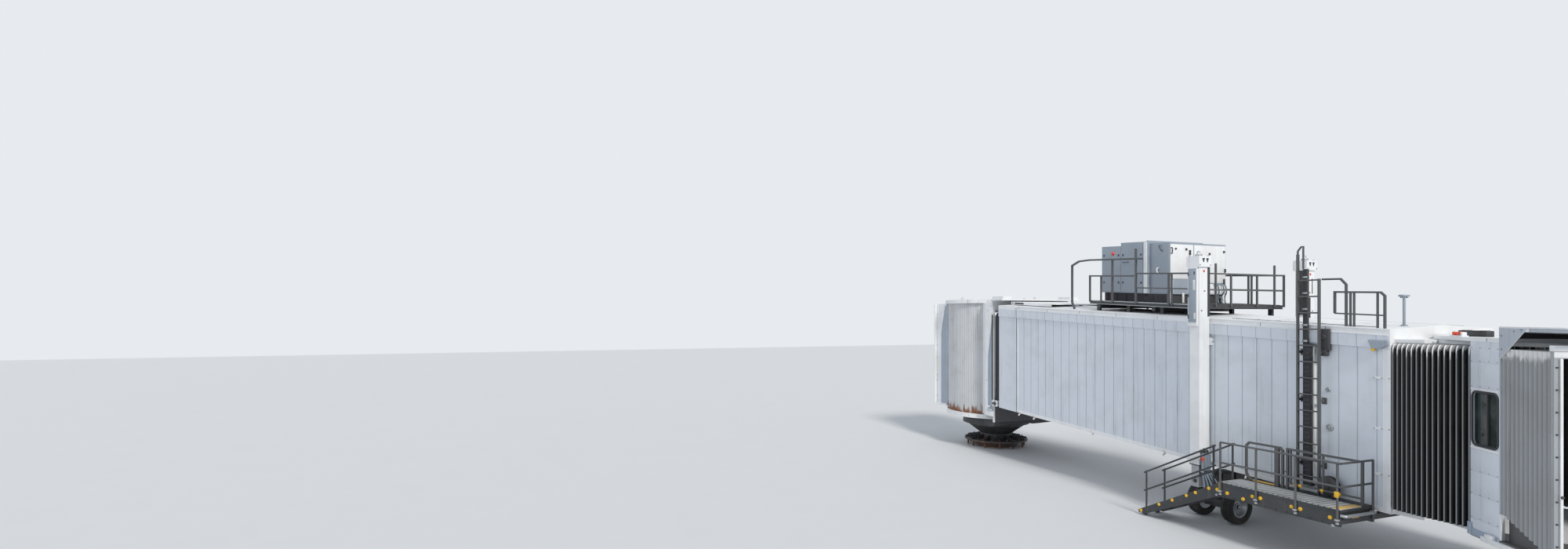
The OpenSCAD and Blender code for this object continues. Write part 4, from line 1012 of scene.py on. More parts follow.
class BRIDGE_OT_portal_trim(bpy.types.Operator):
    """Blue-grey panels of painted shade, edge strips, pin keepers and the sliding roof cover"""

    bl_idname = "bridge.portal_trim"
    bl_label = "Portal Trim"

    def execute(self, context):
        size = context.scene.bridge_sizes.bolt_size
        # A thin blue-grey plate below a diagonal on the portal's jamb: painted shade of a recess.
        corners = [(1.546, 1.426), (1.785, 1.426), (1.785, 4.47), (1.546, 3.14)]
        twin([plate(-1.475, corners, -0.004, 0.0015)], "portal_lining", "panel_blue", "portal")
        wiper = blocks(
            (1.768, -1.519, 1.80, 1.812, -1.503, 4.46, 0.006),
            (1.768, -1.504, 1.79, 1.788, -1.497, 4.47, 0),
        )
        twin(wiper, "portal_wiper", "black_rubber", "portal")
        path = [(1.778, -1.50, 4.56), (1.778, -1.55, 4.56), (1.778, -1.55, 4.33), (1.778, -1.50, 4.33)]
        grip = [pipe(path, 0.03, 0.012, 2)]
        grip += rods((1.66, -1.56, 1.565, 1.66, WALL_Y, 1.565, 0.03, 16, 0.006))
        grip += blocks((1.60, -1.516, 1.44, 1.76, WALL_Y, 1.49, 0.005))
        twin(grip, "portal_handles", "label_white", "portal")
        keeper = blocks((1.82, -1.536, 1.665, 1.98, -1.5205, 1.715, 0.004))
        keeper += bolts([(1.845, -1.536, 1.69), (1.955, -1.536, 1.69)], OUT, size)
        keeper.append(ring((1.9, -1.503, 1.69), INWARD, 0.06, 0.009, 28))
        twin(keeper, "pin_keepers", "dark_paint", "portal")
        marks = bolts([(1.55, -1.50, 4.60), (1.72, -1.50, 4.75), (1.5, -1.50, 2.4)], OUT, size * 0.9)
        marks += bolts([(x, -1.52, 4.93) for x in (1.8, 2.0, 2.2)], OUT, size * 0.7)
        twin(marks, "portal_bolts", "zinc", "portal")
        self.cover()
        return {"FINISHED"}

    def cover(self):
        """The cover that slides over the outer tunnel's roof."""
        rows = [(2.33, 4.08, -1.2, 1.2, 0.262, 0.290, 0.004)]
        rows += [(2.33, 4.08, y, y + 0.012, 0.205, 0.291, 0.003) for y in (-1.212, 1.2)]
        for x in (2.36, 2.75):
            rows.append((x, x + 0.08, -1.15, 1.15, 0.236, 0.264, 0.003))
            rows += [(x, x + 0.08, y, y + 0.08, 0.17, 0.264, 0.003) for y in (-1.13, 1.05)]
        done(bars(roof_z, *rows), "roof_cover", "plain_white", "inner_tunnel")
        slots = bars(
            roof_z,
            (2.50, 2.90, -1.2165, -1.2115, 0.225, 0.272, 0.001),
            (2.38, 2.44, -1.2165, -1.2115, 0.235, 0.262, 0.001),
        )
        twin(slots, "cover_slots", "black_rubber", "inner_tunnel")


class BRIDGE_OT_wall_trim(bpy.types.Operator):
    """Straps, fittings and drains on the outer tunnel's sides"""

    bl_idname = "bridge.wall_trim"
    bl_label = "Wall Trim"

    def execute(self, context):
        size = context.scene.bridge_sizes.bolt_size
        levels = (3.365, 2.49, 1.70)
        straps = blocks(*[(12.345, -1.509, z - 0.022, 12.622, WALL_Y, z + 0.022, 0.003) for z in levels])
        straps += bars(
            low_z,
            (2.965, 3.02, -1.509, WALL_Y, 0.02, 2.83, 0.003),
            (12.56, 12.625, -1.512, WALL_Y, 0.02, 2.83, 0.003),
        )
        twin(straps, "wall_straps", "plain_white")
        heads = [(x, -1.509, z) for z in levels for x in (12.37, 12.49, 12.60)]
        twin(bolts(heads, OUT, size * 0.7), "strap_bolts", "zinc")
        made = []
        for x in (3.06, 3.70, 5.9, 8.08, 10.05, 12.2):
            z = low_z(x)
            path = [(x, -1.44, z + 0.004), (x, -1.46, z - 0.03)]
            path += [(x, -1.51, z - 0.035), (x, -1.515, z - 0.075)]
            made.append(pipe(path, 0.02, 0.019, 2, 3))
            made += blocks((x - 0.035, -1.512, z + 0.01, x + 0.035, WALL_Y, z + 0.06, 0.003))
        twin(made, "wall_drains", "label_white")
        self.fittings(size)
        self.gutter()
        return {"FINISHED"}

    def fittings(self, size):
        """The black sensor, two round fittings and the bracket with its small lamp."""
        box = blocks(
            (11.50, -1.585, 3.80, 11.685, WALL_Y, 4.20, 0.012),
            (11.53, -1.60, 3.70, 11.65, WALL_Y, 3.81, 0.02),
        )
        box += rods((11.59, -1.615, 4.05, 11.59, -1.58, 4.05, 0.055, 20, 0.008))
        done(box, "wall_sensor", "black_rubber")
        made = []
        for x, z, r in ((11.63, 3.08, 0.04), (11.657, 2.387, 0.066)):
            made += rods(
                (x, WALL_Y, z, x, -1.522, z, r, 24, 0.004),
                (x, -1.52, z, x, -1.54, z, r * 0.4, 16, 0.004),
            )
            made.append(ring((x, -1.522, z), INWARD, r * 0.8, 0.010, 24))
        done(made, "round_fittings", "zinc")
        corners = [(12.30, 4.02), (12.61, 4.02), (12.61, 3.93), (12.50, 3.87), (12.36, 3.87)]
        done([plate(-1.53, corners, -0.035, 0.006)], "corner_bracket", "unit_paint")
        profile = [(0, 0.05), (0.018, 0.045), (0.03, 0.025), (0.032, 0), (0, 0)]
        lamp = lathe(profile, (12.38, -1.548, 3.872), (0, 0, -1), 16)
        done([lamp], "corner_lamp", "reflector", slot="white_steel")
        heads = [(12.36, -1.565, 3.98), (12.55, -1.565, 3.98), (12.55, -1.565, 3.93)]
        done(bolts(heads, OUT, size * 0.7), "bracket_bolts", "zinc")

    def gutter(self):
        """The roof's painted skirt, its seams, and a drip strip with joint covers."""
        face = -1.5255
        for name, x0, x1, body in (
            ("roof_skirts", 2.965, 12.61, "outer_tunnel"),
            ("collar_skirts", 2.13, 2.94, "inner_tunnel"),
        ):
            twin(bars(roof_z, (x0, x1, -1.530, face, -0.169, 0.060, 0.001)), name, "wall_paint", body)
        rows = []
        for k in range(1, 32):
            x = OUTER_X0 + k * PANEL_PITCH
            rows.append((x - 0.004, x + 0.004, -1.5315, -1.529, -0.168, 0.059, 0.0005))
        twin(bars(roof_z, *rows), "skirt_seams", "panel_blue")
        rows = [
            (2.97, 12.60, -1.536, face, 0.055, 0.072, 0.002),
            (2.97, 12.60, -1.533, face, 0.150, 0.172, 0.002),
        ]
        for k in range(1, 8):
            x = OUTER_X0 + k * 4 * PANEL_PITCH
            rows.append((x - 0.03, x + 0.03, -1.531, face, 0.073, 0.151, 0.002))
        twin(bars(roof_z, *rows), "roof_edge_strips", "plain_white")


class BRIDGE_OT_column_trim(bpy.types.Operator):
    """Slots, bolts, labels and wipers of the lift columns"""

    bl_idname = "bridge.column_trim"
    bl_label = "Lift Column Trim"

    def execute(self, context):
        size = context.scene.bridge_sizes.bolt_size
        dark = []
        for y in (-1.755, -1.64):
            corners = ((y - 0.04, 5.675), (y + 0.04, 5.675), (y + 0.008, 5.585), (y - 0.008, 5.585))
            dark.append(prism([(9.298, *corner) for corner in corners], (0.005, 0, 0), 0))
        dark += blocks(
            (9.08, -1.539, 4.46, 9.262, -1.512, 5.485, 0.004),
            (9.262, -1.70, 4.96, 9.268, -1.66, 4.985, 0.001),
            (9.262, -1.785, 4.535, 9.268, -1.755, 4.565, 0.001),
            (9.028, -1.847, 1.225, 9.272, -1.533, 1.245, 0.004),
            (9.255, -1.598, 4.42, 9.2665, -1.536, 5.48, 0.001),
        )
        slots = blocks(
            (9.262, 1.655, 4.22, 9.268, 1.705, 4.86, 0.001),
            (9.262, 1.615, 5.24, 9.268, 1.65, 5.36, 0.001),
            (9.262, 1.75, 4.95, 9.268, 1.78, 5.30, 0.001),
        )
        done(mirrored_pair(dark, TUNNEL_MIRROR) + slots, "column_slots", "black_rubber")
        self.control_box()
        self.fixings(size)
        return {"FINISHED"}

    def control_box(self):
        """Door, hinges, blank plates and lock of the control box."""
        done(blocks((9.05, -1.903, 4.30, 9.238, -1.8955, 5.455, 0.004)), "box_door", "unit_paint")
        plates = blocks(
            (9.165, -1.9065, 4.99, 9.218, -1.9025, 5.21, 0.001),
            (9.185, -1.9065, 4.37, 9.226, -1.9025, 4.50, 0.001),
        )
        done(plates, "blank_plates", "label_white")
        small = blocks((9.185, -1.908, 5.33, 9.21, -1.9025, 5.39, 0.002))
        for z in (4.42, 4.88, 5.34):
            small += rods((9.053, -1.907, z - 0.04, 9.053, -1.907, z + 0.04, 0.009, 10, 0.002))
        done(small, "box_hinges", "dark_paint")

    def fixings(self, size):
        """Bolts of the brackets and of the heads, and the lifting eyes."""
        made = []
        for x, side in ((8.979, -1), (9.321, 1)):
            places = [(x, -1.52, z) for z in (1.33, 1.43, 3.88, 3.98)]
            made += bolts(places, (side, 0, 0), size * 0.8)
        made += bolts([(x, y, 5.72) for x in (9.03, 9.25) for y in (-1.84, -1.57)], UP, size * 1.1)
        made += rods((9.14, -1.70, 5.719, 9.14, -1.70, 5.775, 0.07, 24, 0.01))
        made.append(ring((9.14, -1.70, 5.80), INWARD, 0.035, 0.009, 20))
        made += bolts([(9.30, y, 5.53) for y in (-1.86, -1.55)], ALONG, size * 0.8)
        twin(made, "column_bolts", "zinc")
        twin(rods((9.262, -1.70, 5.40, 9.272, -1.70, 5.40, 0.026, 16, 0.003)), "column_lamp", "signal_red")


class BRIDGE_OT_air_handler_trim(bpy.types.Operator):
    """Doors, latches, feet, lamp and pipes of the roof air handler"""

    bl_idname = "bridge.air_handler_trim"
    bl_label = "Air Handler Trim"

    def execute(self, context):
        self.skins()
        self.latches()
        self.base()
        self.pipes()
        return {"FINISHED"}

    def skins(self):
        """Raised skins with joints between them, and white panels and a white strip that are painted light on
        the unit's sunlit faces.
        """
        rows = [(7.20, 7.70, -0.898, -0.889, 0.675, 1.885, 0.003)]
        for x0, x1, y, top in (
            (5.735, 6.335, -0.988, 1.845),
            (6.365, 7.03, -0.988, 1.925),
            (5.735, 6.335, 0.979, 1.845),
            (6.365, 7.13, 0.979, 1.925),
            (7.17, 7.70, 0.979, 1.885),
        ):
            rows.append((x0, x1, y, y + 0.009, 0.675, top, 0.003))
        fin = [(x, roof_z(x) + up) for x, up in ((7.05, 1.925), (7.14, 1.925), (7.14, 1.97), (7.10, 1.97))]
        blue = bars(roof_z, *rows) + [plate(-0.93, fin, 1.86, 0.004)]
        done(blue, "handler_skins", "unit_paint", slot="unit_grey")
        # The white strip on the -Y face and the white panels and feet on the +X face are painted light,
        # standing in for sun on the unit.
        white = bars(roof_z, (7.055, 7.155, -0.992, -0.979, 0.662, 1.93, 0.004))
        top = roof_z(7.72)
        for y0, y1, z0, z1 in (
            (-0.875, -0.125, 1.03, 1.86),
            (-0.095, 0.965, 0.95, 1.86),
            (-0.875, -0.79, 0.68, 1.00),
            (-0.21, -0.125, 0.68, 1.00),
            (-0.095, 0.965, 0.68, 0.92),
        ):
            white += blocks((7.719, y0, top + z0, 7.729, y1, top + z1, 0.003))
        for y in (-0.85, -0.45, -0.17, 0.3, 0.9):
            white += blocks((7.70, y - 0.03, top + 0.447, 7.727, y + 0.03, top + 0.69, 0.004))
        done(white, "handler_panels", "plain_white", slot="unit_grey")

    def latches(self):
        """Latches, handles and the round lamp."""
        made = []
        for y, z, tall in (
            (-0.711, 6.05, 0.035),
            (-0.368, 6.045, 0.05),
            (-0.248, 5.97, 0.12),
            (0.407, 5.955, 0.05),
            (0.905, 6.02, 0.05),
            (0.94, 5.555, 0.09),
            (0.905, 5.28, 0.14),
        ):
            made += blocks((7.728, y - 0.025, z - tall / 2, 7.752, y + 0.025, z + tall / 2, 0.005))
        path = [(7.725, -0.86, 6.07), (7.77, -0.86, 6.07), (7.77, -0.86, 5.93), (7.725, -0.86, 5.93)]
        made.append(pipe(path, 0.03, 0.012, 2))
        path = [(7.46, -0.895, 6.14), (7.46, -0.95, 6.13), (7.52, -0.95, 6.02), (7.52, -0.90, 6.0)]
        made.append(pipe(path, 0.03, 0.010, 2))
        path = [(6.42, -0.985, 5.80), (6.42, -1.02, 5.80), (6.60, -1.02, 5.80), (6.60, -0.985, 5.80)]
        made.append(pipe(path, 0.02, 0.008, 2))
        for x in (5.80, 6.28, 6.42, 6.98):
            for up in (0.9, 1.6):
                made += bars(roof_z, (x - 0.02, x + 0.02, -0.998, -0.986, up, up + 0.05, 0.003))
        done(made, "handler_latches", "dark_paint")
        profile = [(0, 0.035), (0.03, 0.03), (0.045, 0.015), (0.05, 0), (0, 0)]
        done([lathe(profile, (6.10, -0.987, 6.05), OUT, 20)], "handler_lamp", "signal_red", slot="unit_grey")

    def base(self):
        """Ribs of the black base and the deck's edge angles."""
        starts = [5.83 + k * 0.3 for k in range(7)]
        rows = [(x, x + 0.05, -0.945, -0.915, 0.446, 0.661, 0.003) for x in starts]
        rows.append((5.765, 7.675, -0.926, -0.9195, 0.452, 0.658, 0.001))
        ribs = mirrored_pair(bars(roof_z, *rows), TUNNEL_MIRROR)
        rows = [(x, x + 0.0065, -0.915, 0.915, 0.452, 0.656, 0.001) for x in (5.754, 7.6795)]
        done(ribs + bars(roof_z, *rows), "base_ribs", "black_rubber")
        rows = []
        for y0 in (-1.309, 1.2995):
            for low, high in ((0.43, 0.45), (0.352, 0.366)):
                rows.append((5.63, 8.90, y0, y0 + 0.0095, low, high, 0.002))
        done(bars(roof_z, *rows), "platform_edges", "zinc")
        starts = [-1.27 + k * 0.1 for k in range(26)]
        rows = [(7.80, 8.87, y, y + 0.04, 0.446, 0.456, 0.002) for y in starts]
        done(bars(roof_z, *rows), "platform_grating", "dark_paint")

    def pipes(self):
        """Fixed conduits from the unit to the platform, and a drain pipe."""
        grey = []
        z = roof_z(7.75)
        for y, bulge in ((0.56, 0.10), (0.68, 0.14), (0.80, 0.11)):
            path = [(7.71, y, z + 0.92), (7.73 + bulge, y + 0.02, z + 0.90)]
            path += [(7.74 + bulge, y + 0.05, z + 0.72), (7.78, y + 0.07, z + 0.62)]
            path += [(7.78, y + 0.08, z + 0.50), (7.80, y + 0.08, z + 0.458)]
            grey.append(pipe(path, 0.05, 0.016, 3))
        done(grey, "handler_conduits", "hose_skin")
        z = roof_z(7.85)
        path = [(7.715, 0.80, z + 0.60), (7.80, 0.80, z + 0.60), (7.80, 0.79, z + 0.458)]
        pale = [pipe(path, 0.05, 0.024, 3)]
        path = [(7.40, -0.889, 5.60), (7.40, -0.94, 5.60), (7.40, -0.94, 5.50), (7.48, -0.94, 5.44)]
        pale.append(pipe(path, 0.03, 0.016, 3))
        done(pale, "handler_drain", "label_white")


class BRIDGE_OT_ladder_trim(bpy.types.Operator):
    """Brackets, rung collars and the cable carrier by the wall ladder"""

    bl_idname = "bridge.ladder_trim"
    bl_label = "Ladder Trim"

    def execute(self, context):
        size = context.scene.bridge_sizes.bolt_size
        plates = []
        heads = []
        for x, side in ((11.18, 1), (11.56, -1)):
            for z in (1.665, 2.865, 3.755):
                plates += blocks((x - 0.045, -1.51, z - 0.06, x + 0.045, WALL_Y, z + 0.06, 0.003))
                heads += [(x - 0.028, -1.51, z - 0.04), (x + 0.028, -1.51, z + 0.04)]
            for k in range(1, 14):
                z = DECK_Z + k * RUNG_PITCH
                plates += rods((x + side * 0.011, -1.65, z, x + side * 0.024, -1.65, z, 0.021, 10))
        done(plates + bolts(heads, OUT, size * 0.7), "ladder_brackets", "rail_paint")
        cover = bars(
            low_z,
            (11.397, 11.424, -1.566, -1.5605, 0.205, 2.79, 0.001),
            (11.4205, 11.425, -1.566, -1.503, 0.205, 2.79, 0.001),
        )
        done(cover, "trough_cover", "label_white")
        pattern = block((11.256, -1.613, 1.42), (11.374, -1.601, 1.485), 0.006, 1)
        links = [copy_moved(pattern, Matrix.Translation((0, 0, k * 0.088))) for k in range(27)]
        bpy.data.objects.remove(pattern)
        done(links, "carrier_links", "black_rubber")
        levels = [3.95 + k * 0.3 for k in range(5)]
        clips = blocks(*[(11.228, -1.606, z, 11.322, -1.5995, z + 0.035, 0.002) for z in levels])
        done(clips, "cable_clips", "zinc")
        return {"FINISHED"}


class BRIDGE_OT_lamp_post(bpy.types.Operator):
    """Small lamp post and fittings on the outer tunnel's roof"""

    bl_idname = "bridge.lamp_post"
    bl_label = "Roof Lamp"

    def execute(self, context):
        foot = roof_z(12.39) + 0.19
        post = rods(
            (12.39, -0.70, foot, 12.39, -0.70, foot + 0.55, 0.022, 16, 0.003),
            (12.39, -0.70, foot, 12.39, -0.70, foot + 0.03, 0.06, 20, 0.006),
        )
        post += blocks(
            (12.35, -0.80, foot + 0.54, 12.43, -0.60, foot + 0.575, 0.006),
            (12.37, -0.785, foot + 0.515, 12.41, -0.745, foot + 0.542, 0.004),
            (12.37, -0.655, foot + 0.515, 12.41, -0.615, foot + 0.542, 0.004),
        )
        post += bolts([(12.35, -0.70, foot + 0.03), (12.43, -0.70, foot + 0.03)], UP, 0.018)
        done(post, "roof_lamp_post", "unit_paint")
        rows = [(9.6, 12.3, y, y + 0.04, 0.178, 0.196, 0.002) for y in (-1.30, 1.26)]
        rows += [(9.7 + k * 0.42, 9.75 + k * 0.42, -1.32, -1.24, 0.176, 0.20, 0.002) for k in range(7)]
        done(bars(roof_z, *rows), "roof_conduit", "zinc")
        return {"FINISHED"}


class BRIDGE_OT_deck_trim(bpy.types.Operator):
    """Boards, nosings, reflectors, hose reel and bumper of the service deck"""

    bl_idname = "bridge.deck_trim"
    bl_label = "Deck Trim"

    def execute(self, context):
        size = context.scene.bridge_sizes.bolt_size
        places = [-2.452 + k * 0.117 for k in range(5)]
        boards = blocks(*[(10.208, y, 1.139, 12.392, y + 0.111, 1.158, 0.004) for y in places])
        done(boards, "deck_planks", "deck_boards")
        # A dark ribbed plate along the wall side of the deck, where the light planks stop: painted shadow of
        # the tunnel on the deck.
        rows = [(10.21, -1.765, 1.1395, 12.39, -1.56, 1.146, 0.002)]
        starts = [10.26 + k * 0.097 for k in range(22)]
        rows += [(x, -1.76, 1.144, x + 0.01, -1.565, 1.149, 0.001) for x in starts]
        done(blocks(*rows), "inner_deck_plate", "dark_paint")
        self.yellow()
        self.steel(size)
        self.reel()
        return {"FINISHED"}

    def yellow(self):
        """Nosing strips and round reflectors."""
        made = blocks(
            (10.30, -1.755, 1.146, 10.86, -1.665, 1.158, 0.003),
            (12.285, -2.45, 1.157, 12.315, -1.875, 1.166, 0.003),
            (12.355, -2.45, 1.157, 12.385, -1.875, 1.166, 0.003),
            (10.202, -2.474, 0.99, 10.218, -2.459, 1.15, 0.003),
            (12.335, -2.508, 1.36, 12.405, -2.4985, 1.46, 0.003),
            (12.401, -2.16, 0.98, 12.416, -1.98, 1.05, 0.004),
        )
        spots = [(10.165, 0.985), (10.375, 0.96), (10.70, 0.925), (10.885, 1.02)]
        spots += [(11.035, 1.02), (11.605, 1.01), (11.755, 1.005), (12.25, 0.99)]
        made += reflectors([(x, FASCIA_Y, z) for x, z in spots], 0.036)
        made += reflectors([(x, -1.815, 1.262) for x in (11.24, 11.33, 11.71, 12.0)], 0.032)
        done(made, "deck_reflectors", "reflector")

    def steel(self, size):
        """Bumper round the deck's end, post feet and fascia bolts."""
        path = [(12.395, -2.43, 1.05), (12.47, -2.43, 1.05), (12.47, -1.64, 1.05), (12.395, -1.64, 1.05)]
        pale = [pipe(path, 0.08, 0.028, 3, 6)]
        for x in (10.24, 10.96, 11.68, 12.37):
            pale += rods((x, -2.479, 0.900, x, -2.479, 0.932, 0.028, 16, 0.004))
            pale += blocks((x - 0.03, -2.512, 0.955, x + 0.03, -2.4595, 0.99, 0.004))
        pale += rods((12.30, -2.47, 0.845, 12.30, -2.47, 0.89, 0.03, 16, 0.005))
        done(pale, "deck_bumper", "zinc")
        dark = bolts([(10.31 + k * 0.2, FASCIA_Y, 0.885) for k in range(11)], OUT, size * 0.9)
        dark += blocks(
            (10.205, -2.466, 0.862, 12.395, -2.4595, 0.876, 0.002),
            (10.205, -2.466, 1.086, 12.395, -2.4595, 1.10, 0.002),
        )
        done(dark, "fascia_trim", "dark_paint")

    def reel(self):
        """Hose reel on the wall with its fixed feed pipe."""
        centre = Vector((11.73, -1.66, 1.345))
        profile = [(0.0, -0.05), (0.165, -0.05), (0.175, -0.045), (0.175, -0.038), (0.09, -0.036)]
        profile += [(0.09, 0.036), (0.175, 0.038), (0.175, 0.045), (0.165, 0.05), (0.05, 0.05)]
        profile += [(0.045, 0.07), (0.0, 0.07)]
        reel = [lathe(profile, centre, OUT, 40)]
        reel += rods((11.73, -1.62, 1.345, 11.73, -1.50, 1.345, 0.035, 16, 0.004))
        reel += blocks((11.66, -1.512, 1.24, 11.80, WALL_Y, 1.45, 0.005))
        done(reel, "hose_reel", "dark_paint")
        turns = []
        for k in range(4):
            spot = centre + Vector(OUT) * (-0.027 + k * 0.018)
            turns += [ring(spot, OUT, reach, 0.0088, 36) for reach in (0.116, 0.134)]
        done(turns, "reel_winding", "black_rubber")
        path = [(11.47, -1.50, 2.02), (11.47, -1.58, 2.02), (11.47, -1.585, 1.62), (11.47, -1.60, 1.36)]
        path += [(11.60, -1.612, 1.32), (11.73, -1.60, 1.335)]
        feed = [pipe(path, 0.07, 0.013, 3)]
        feed += blocks(*[(11.452, -1.59, z, 11.488, WALL_Y, z + 0.02, 0.003) for z in (1.92, 1.66)])
        done(feed, "reel_feed_pipe", "label_white")


class BRIDGE_OT_stair_trim(bpy.types.Operator):
    """Tread gratings, nosings and reflectors of the service stair"""

    bl_idname = "bridge.stair_trim"
    bl_label = "Stair Trim"

    def execute(self, context):
        foot = 8.26
        run = 1.928

        def line(x):
            return 0.11 + (x - foot) * 1.01 / run

        places = [(x, FASCIA_Y, line(x) - 0.045) for x in (8.33, 8.80, 9.13, 9.47, 9.68, 9.98)]
        yellow = reflectors(places, 0.034)
        grating = []
        for k in range(1, 6):
            x = foot + k * run / 6
            z = line(x) - 0.0602
            yellow += blocks((x - 0.114, -2.425, z, x - 0.085, -1.925, z + 0.006, 0.002))
            for j in range(6):
                start = x - 0.075 + j * 0.03
                grating += blocks((start, -2.425, z, start + 0.008, -1.925, z + 0.006, 0.001))
        done(yellow, "stair_reflectors", "reflector", "stair")
        done(grating, "stair_gratings", "zinc", "stair")
        caps = []
        for y, side in ((FASCIA_Y, -1), (-1.8895, 1)):
            caps += bolts([(8.34, y, 0.06), (10.155, y, 0.88)], (0, side, 0), 0.04)
        done(caps, "stair_pin_caps", "zinc", "stair")
        return {"FINISHED"}


class BRIDGE_OT_carriage_trim(bpy.types.Operator):
    """Plates, bolts, hoses and caps of the legs and wheel trucks"""

    bl_idname = "bridge.carriage_trim"
    bl_label = "Carriage Trim"

    def execute(self, context):
        size = context.scene.bridge_sizes.bolt_size
        rows = [
            (8.985, -1.54, 1.0098, 9.315, 1.54, 1.024, 0.003),
            (8.985, -0.70, 0.746, 9.315, 0.70, 0.7602, 0.003),
        ]
        for k in range(7):
            y = -1.2 + k * 0.4
            for x0, x1 in ((8.972, 9.0005), (9.2995, 9.328)):
                rows.append((x0, y - 0.008, 0.765, x1, y + 0.008, 1.011, 0.002))
        done(blocks(*rows), "beam_plates", "dark_paint", "carriage")
        self.hoses()
        profile = [(0, 0.012), (0.02, 0.012), (0.034, 0.006), (0.036, -0.002), (0, -0.002)]
        for side, y in TRUCKS:
            spots = [on_circle(0.15, 36 * k, 0.7397) + Vector((LIFT_X, y, 0)) for k in range(10)]
            made = bolts(spots, (0, 0, -1), size * 0.9)
            for middle in (y - 0.110, y + 0.110):
                made += blocks((9.0, middle - 0.008, 0.30, 9.30, middle + 0.008, 0.42, 0.004))
            made.append(ring((LIFT_X, y, 0.60), UP, 0.098, 0.012, 32))
            done(made, side + "_truck_bolts", "dark_paint", side + "_bogie")
            caps = [lathe(profile, (LIFT_X + s * 0.46, y, AXLE_Z), (s, 0, 0), 24) for s in (-1, 1)]
            done(caps, side + "_axle_caps", "zinc", side + "_bogie")
        return {"FINISHED"}

    def hoses(self):
        """Fixed hoses clamped to each leg's foot, with a small beacon."""
        hoses = []
        for k in range(6):
            y = -1.80 + k * 0.045
            lean = 0.05 + 0.035 * (k % 3)
            path = [(9.285, y, 1.50), (9.30, y, 1.30), (9.31, y, 1.05)]
            path += [(9.30 + lean, y - 0.01 + 0.012 * k, 0.90), (9.32 + lean, y - 0.02 + 0.02 * k, 0.775)]
            hoses.append(pipe(path, 0.10, 0.019, 3, 4))
        twin(hoses, "leg_hoses", "hose_skin", "legs")
        dark = blocks((9.2505, -1.825, 1.09, 9.335, -1.55, 1.13, 0.006))
        for y, top, radius in ((-1.80, 1.575, 0.026), (-1.71, 1.60, 0.026), (-1.62, 1.56, 0.024)):
            dark += rods((9.285, y, 1.50, 9.285, y, top, radius, 16, 0.004))
        twin(dark, "hose_clamps", "dark_paint", "legs")
        profile = [(0, 0.07), (0.02, 0.066), (0.033, 0.048), (0.036, 0.0), (0, 0)]
        twin([lathe(profile, (9.345, -1.835, 1.36), UP, 20)], "leg_beacon", "signal_red", "legs")
        post = rods((9.345, -1.835, 1.11, 9.345, -1.835, 1.362, 0.012, 12))
        post += blocks((9.30, -1.85, 1.10, 9.36, -1.815, 1.125, 0.003))
        twin(post, "beacon_post", "zinc", "legs")


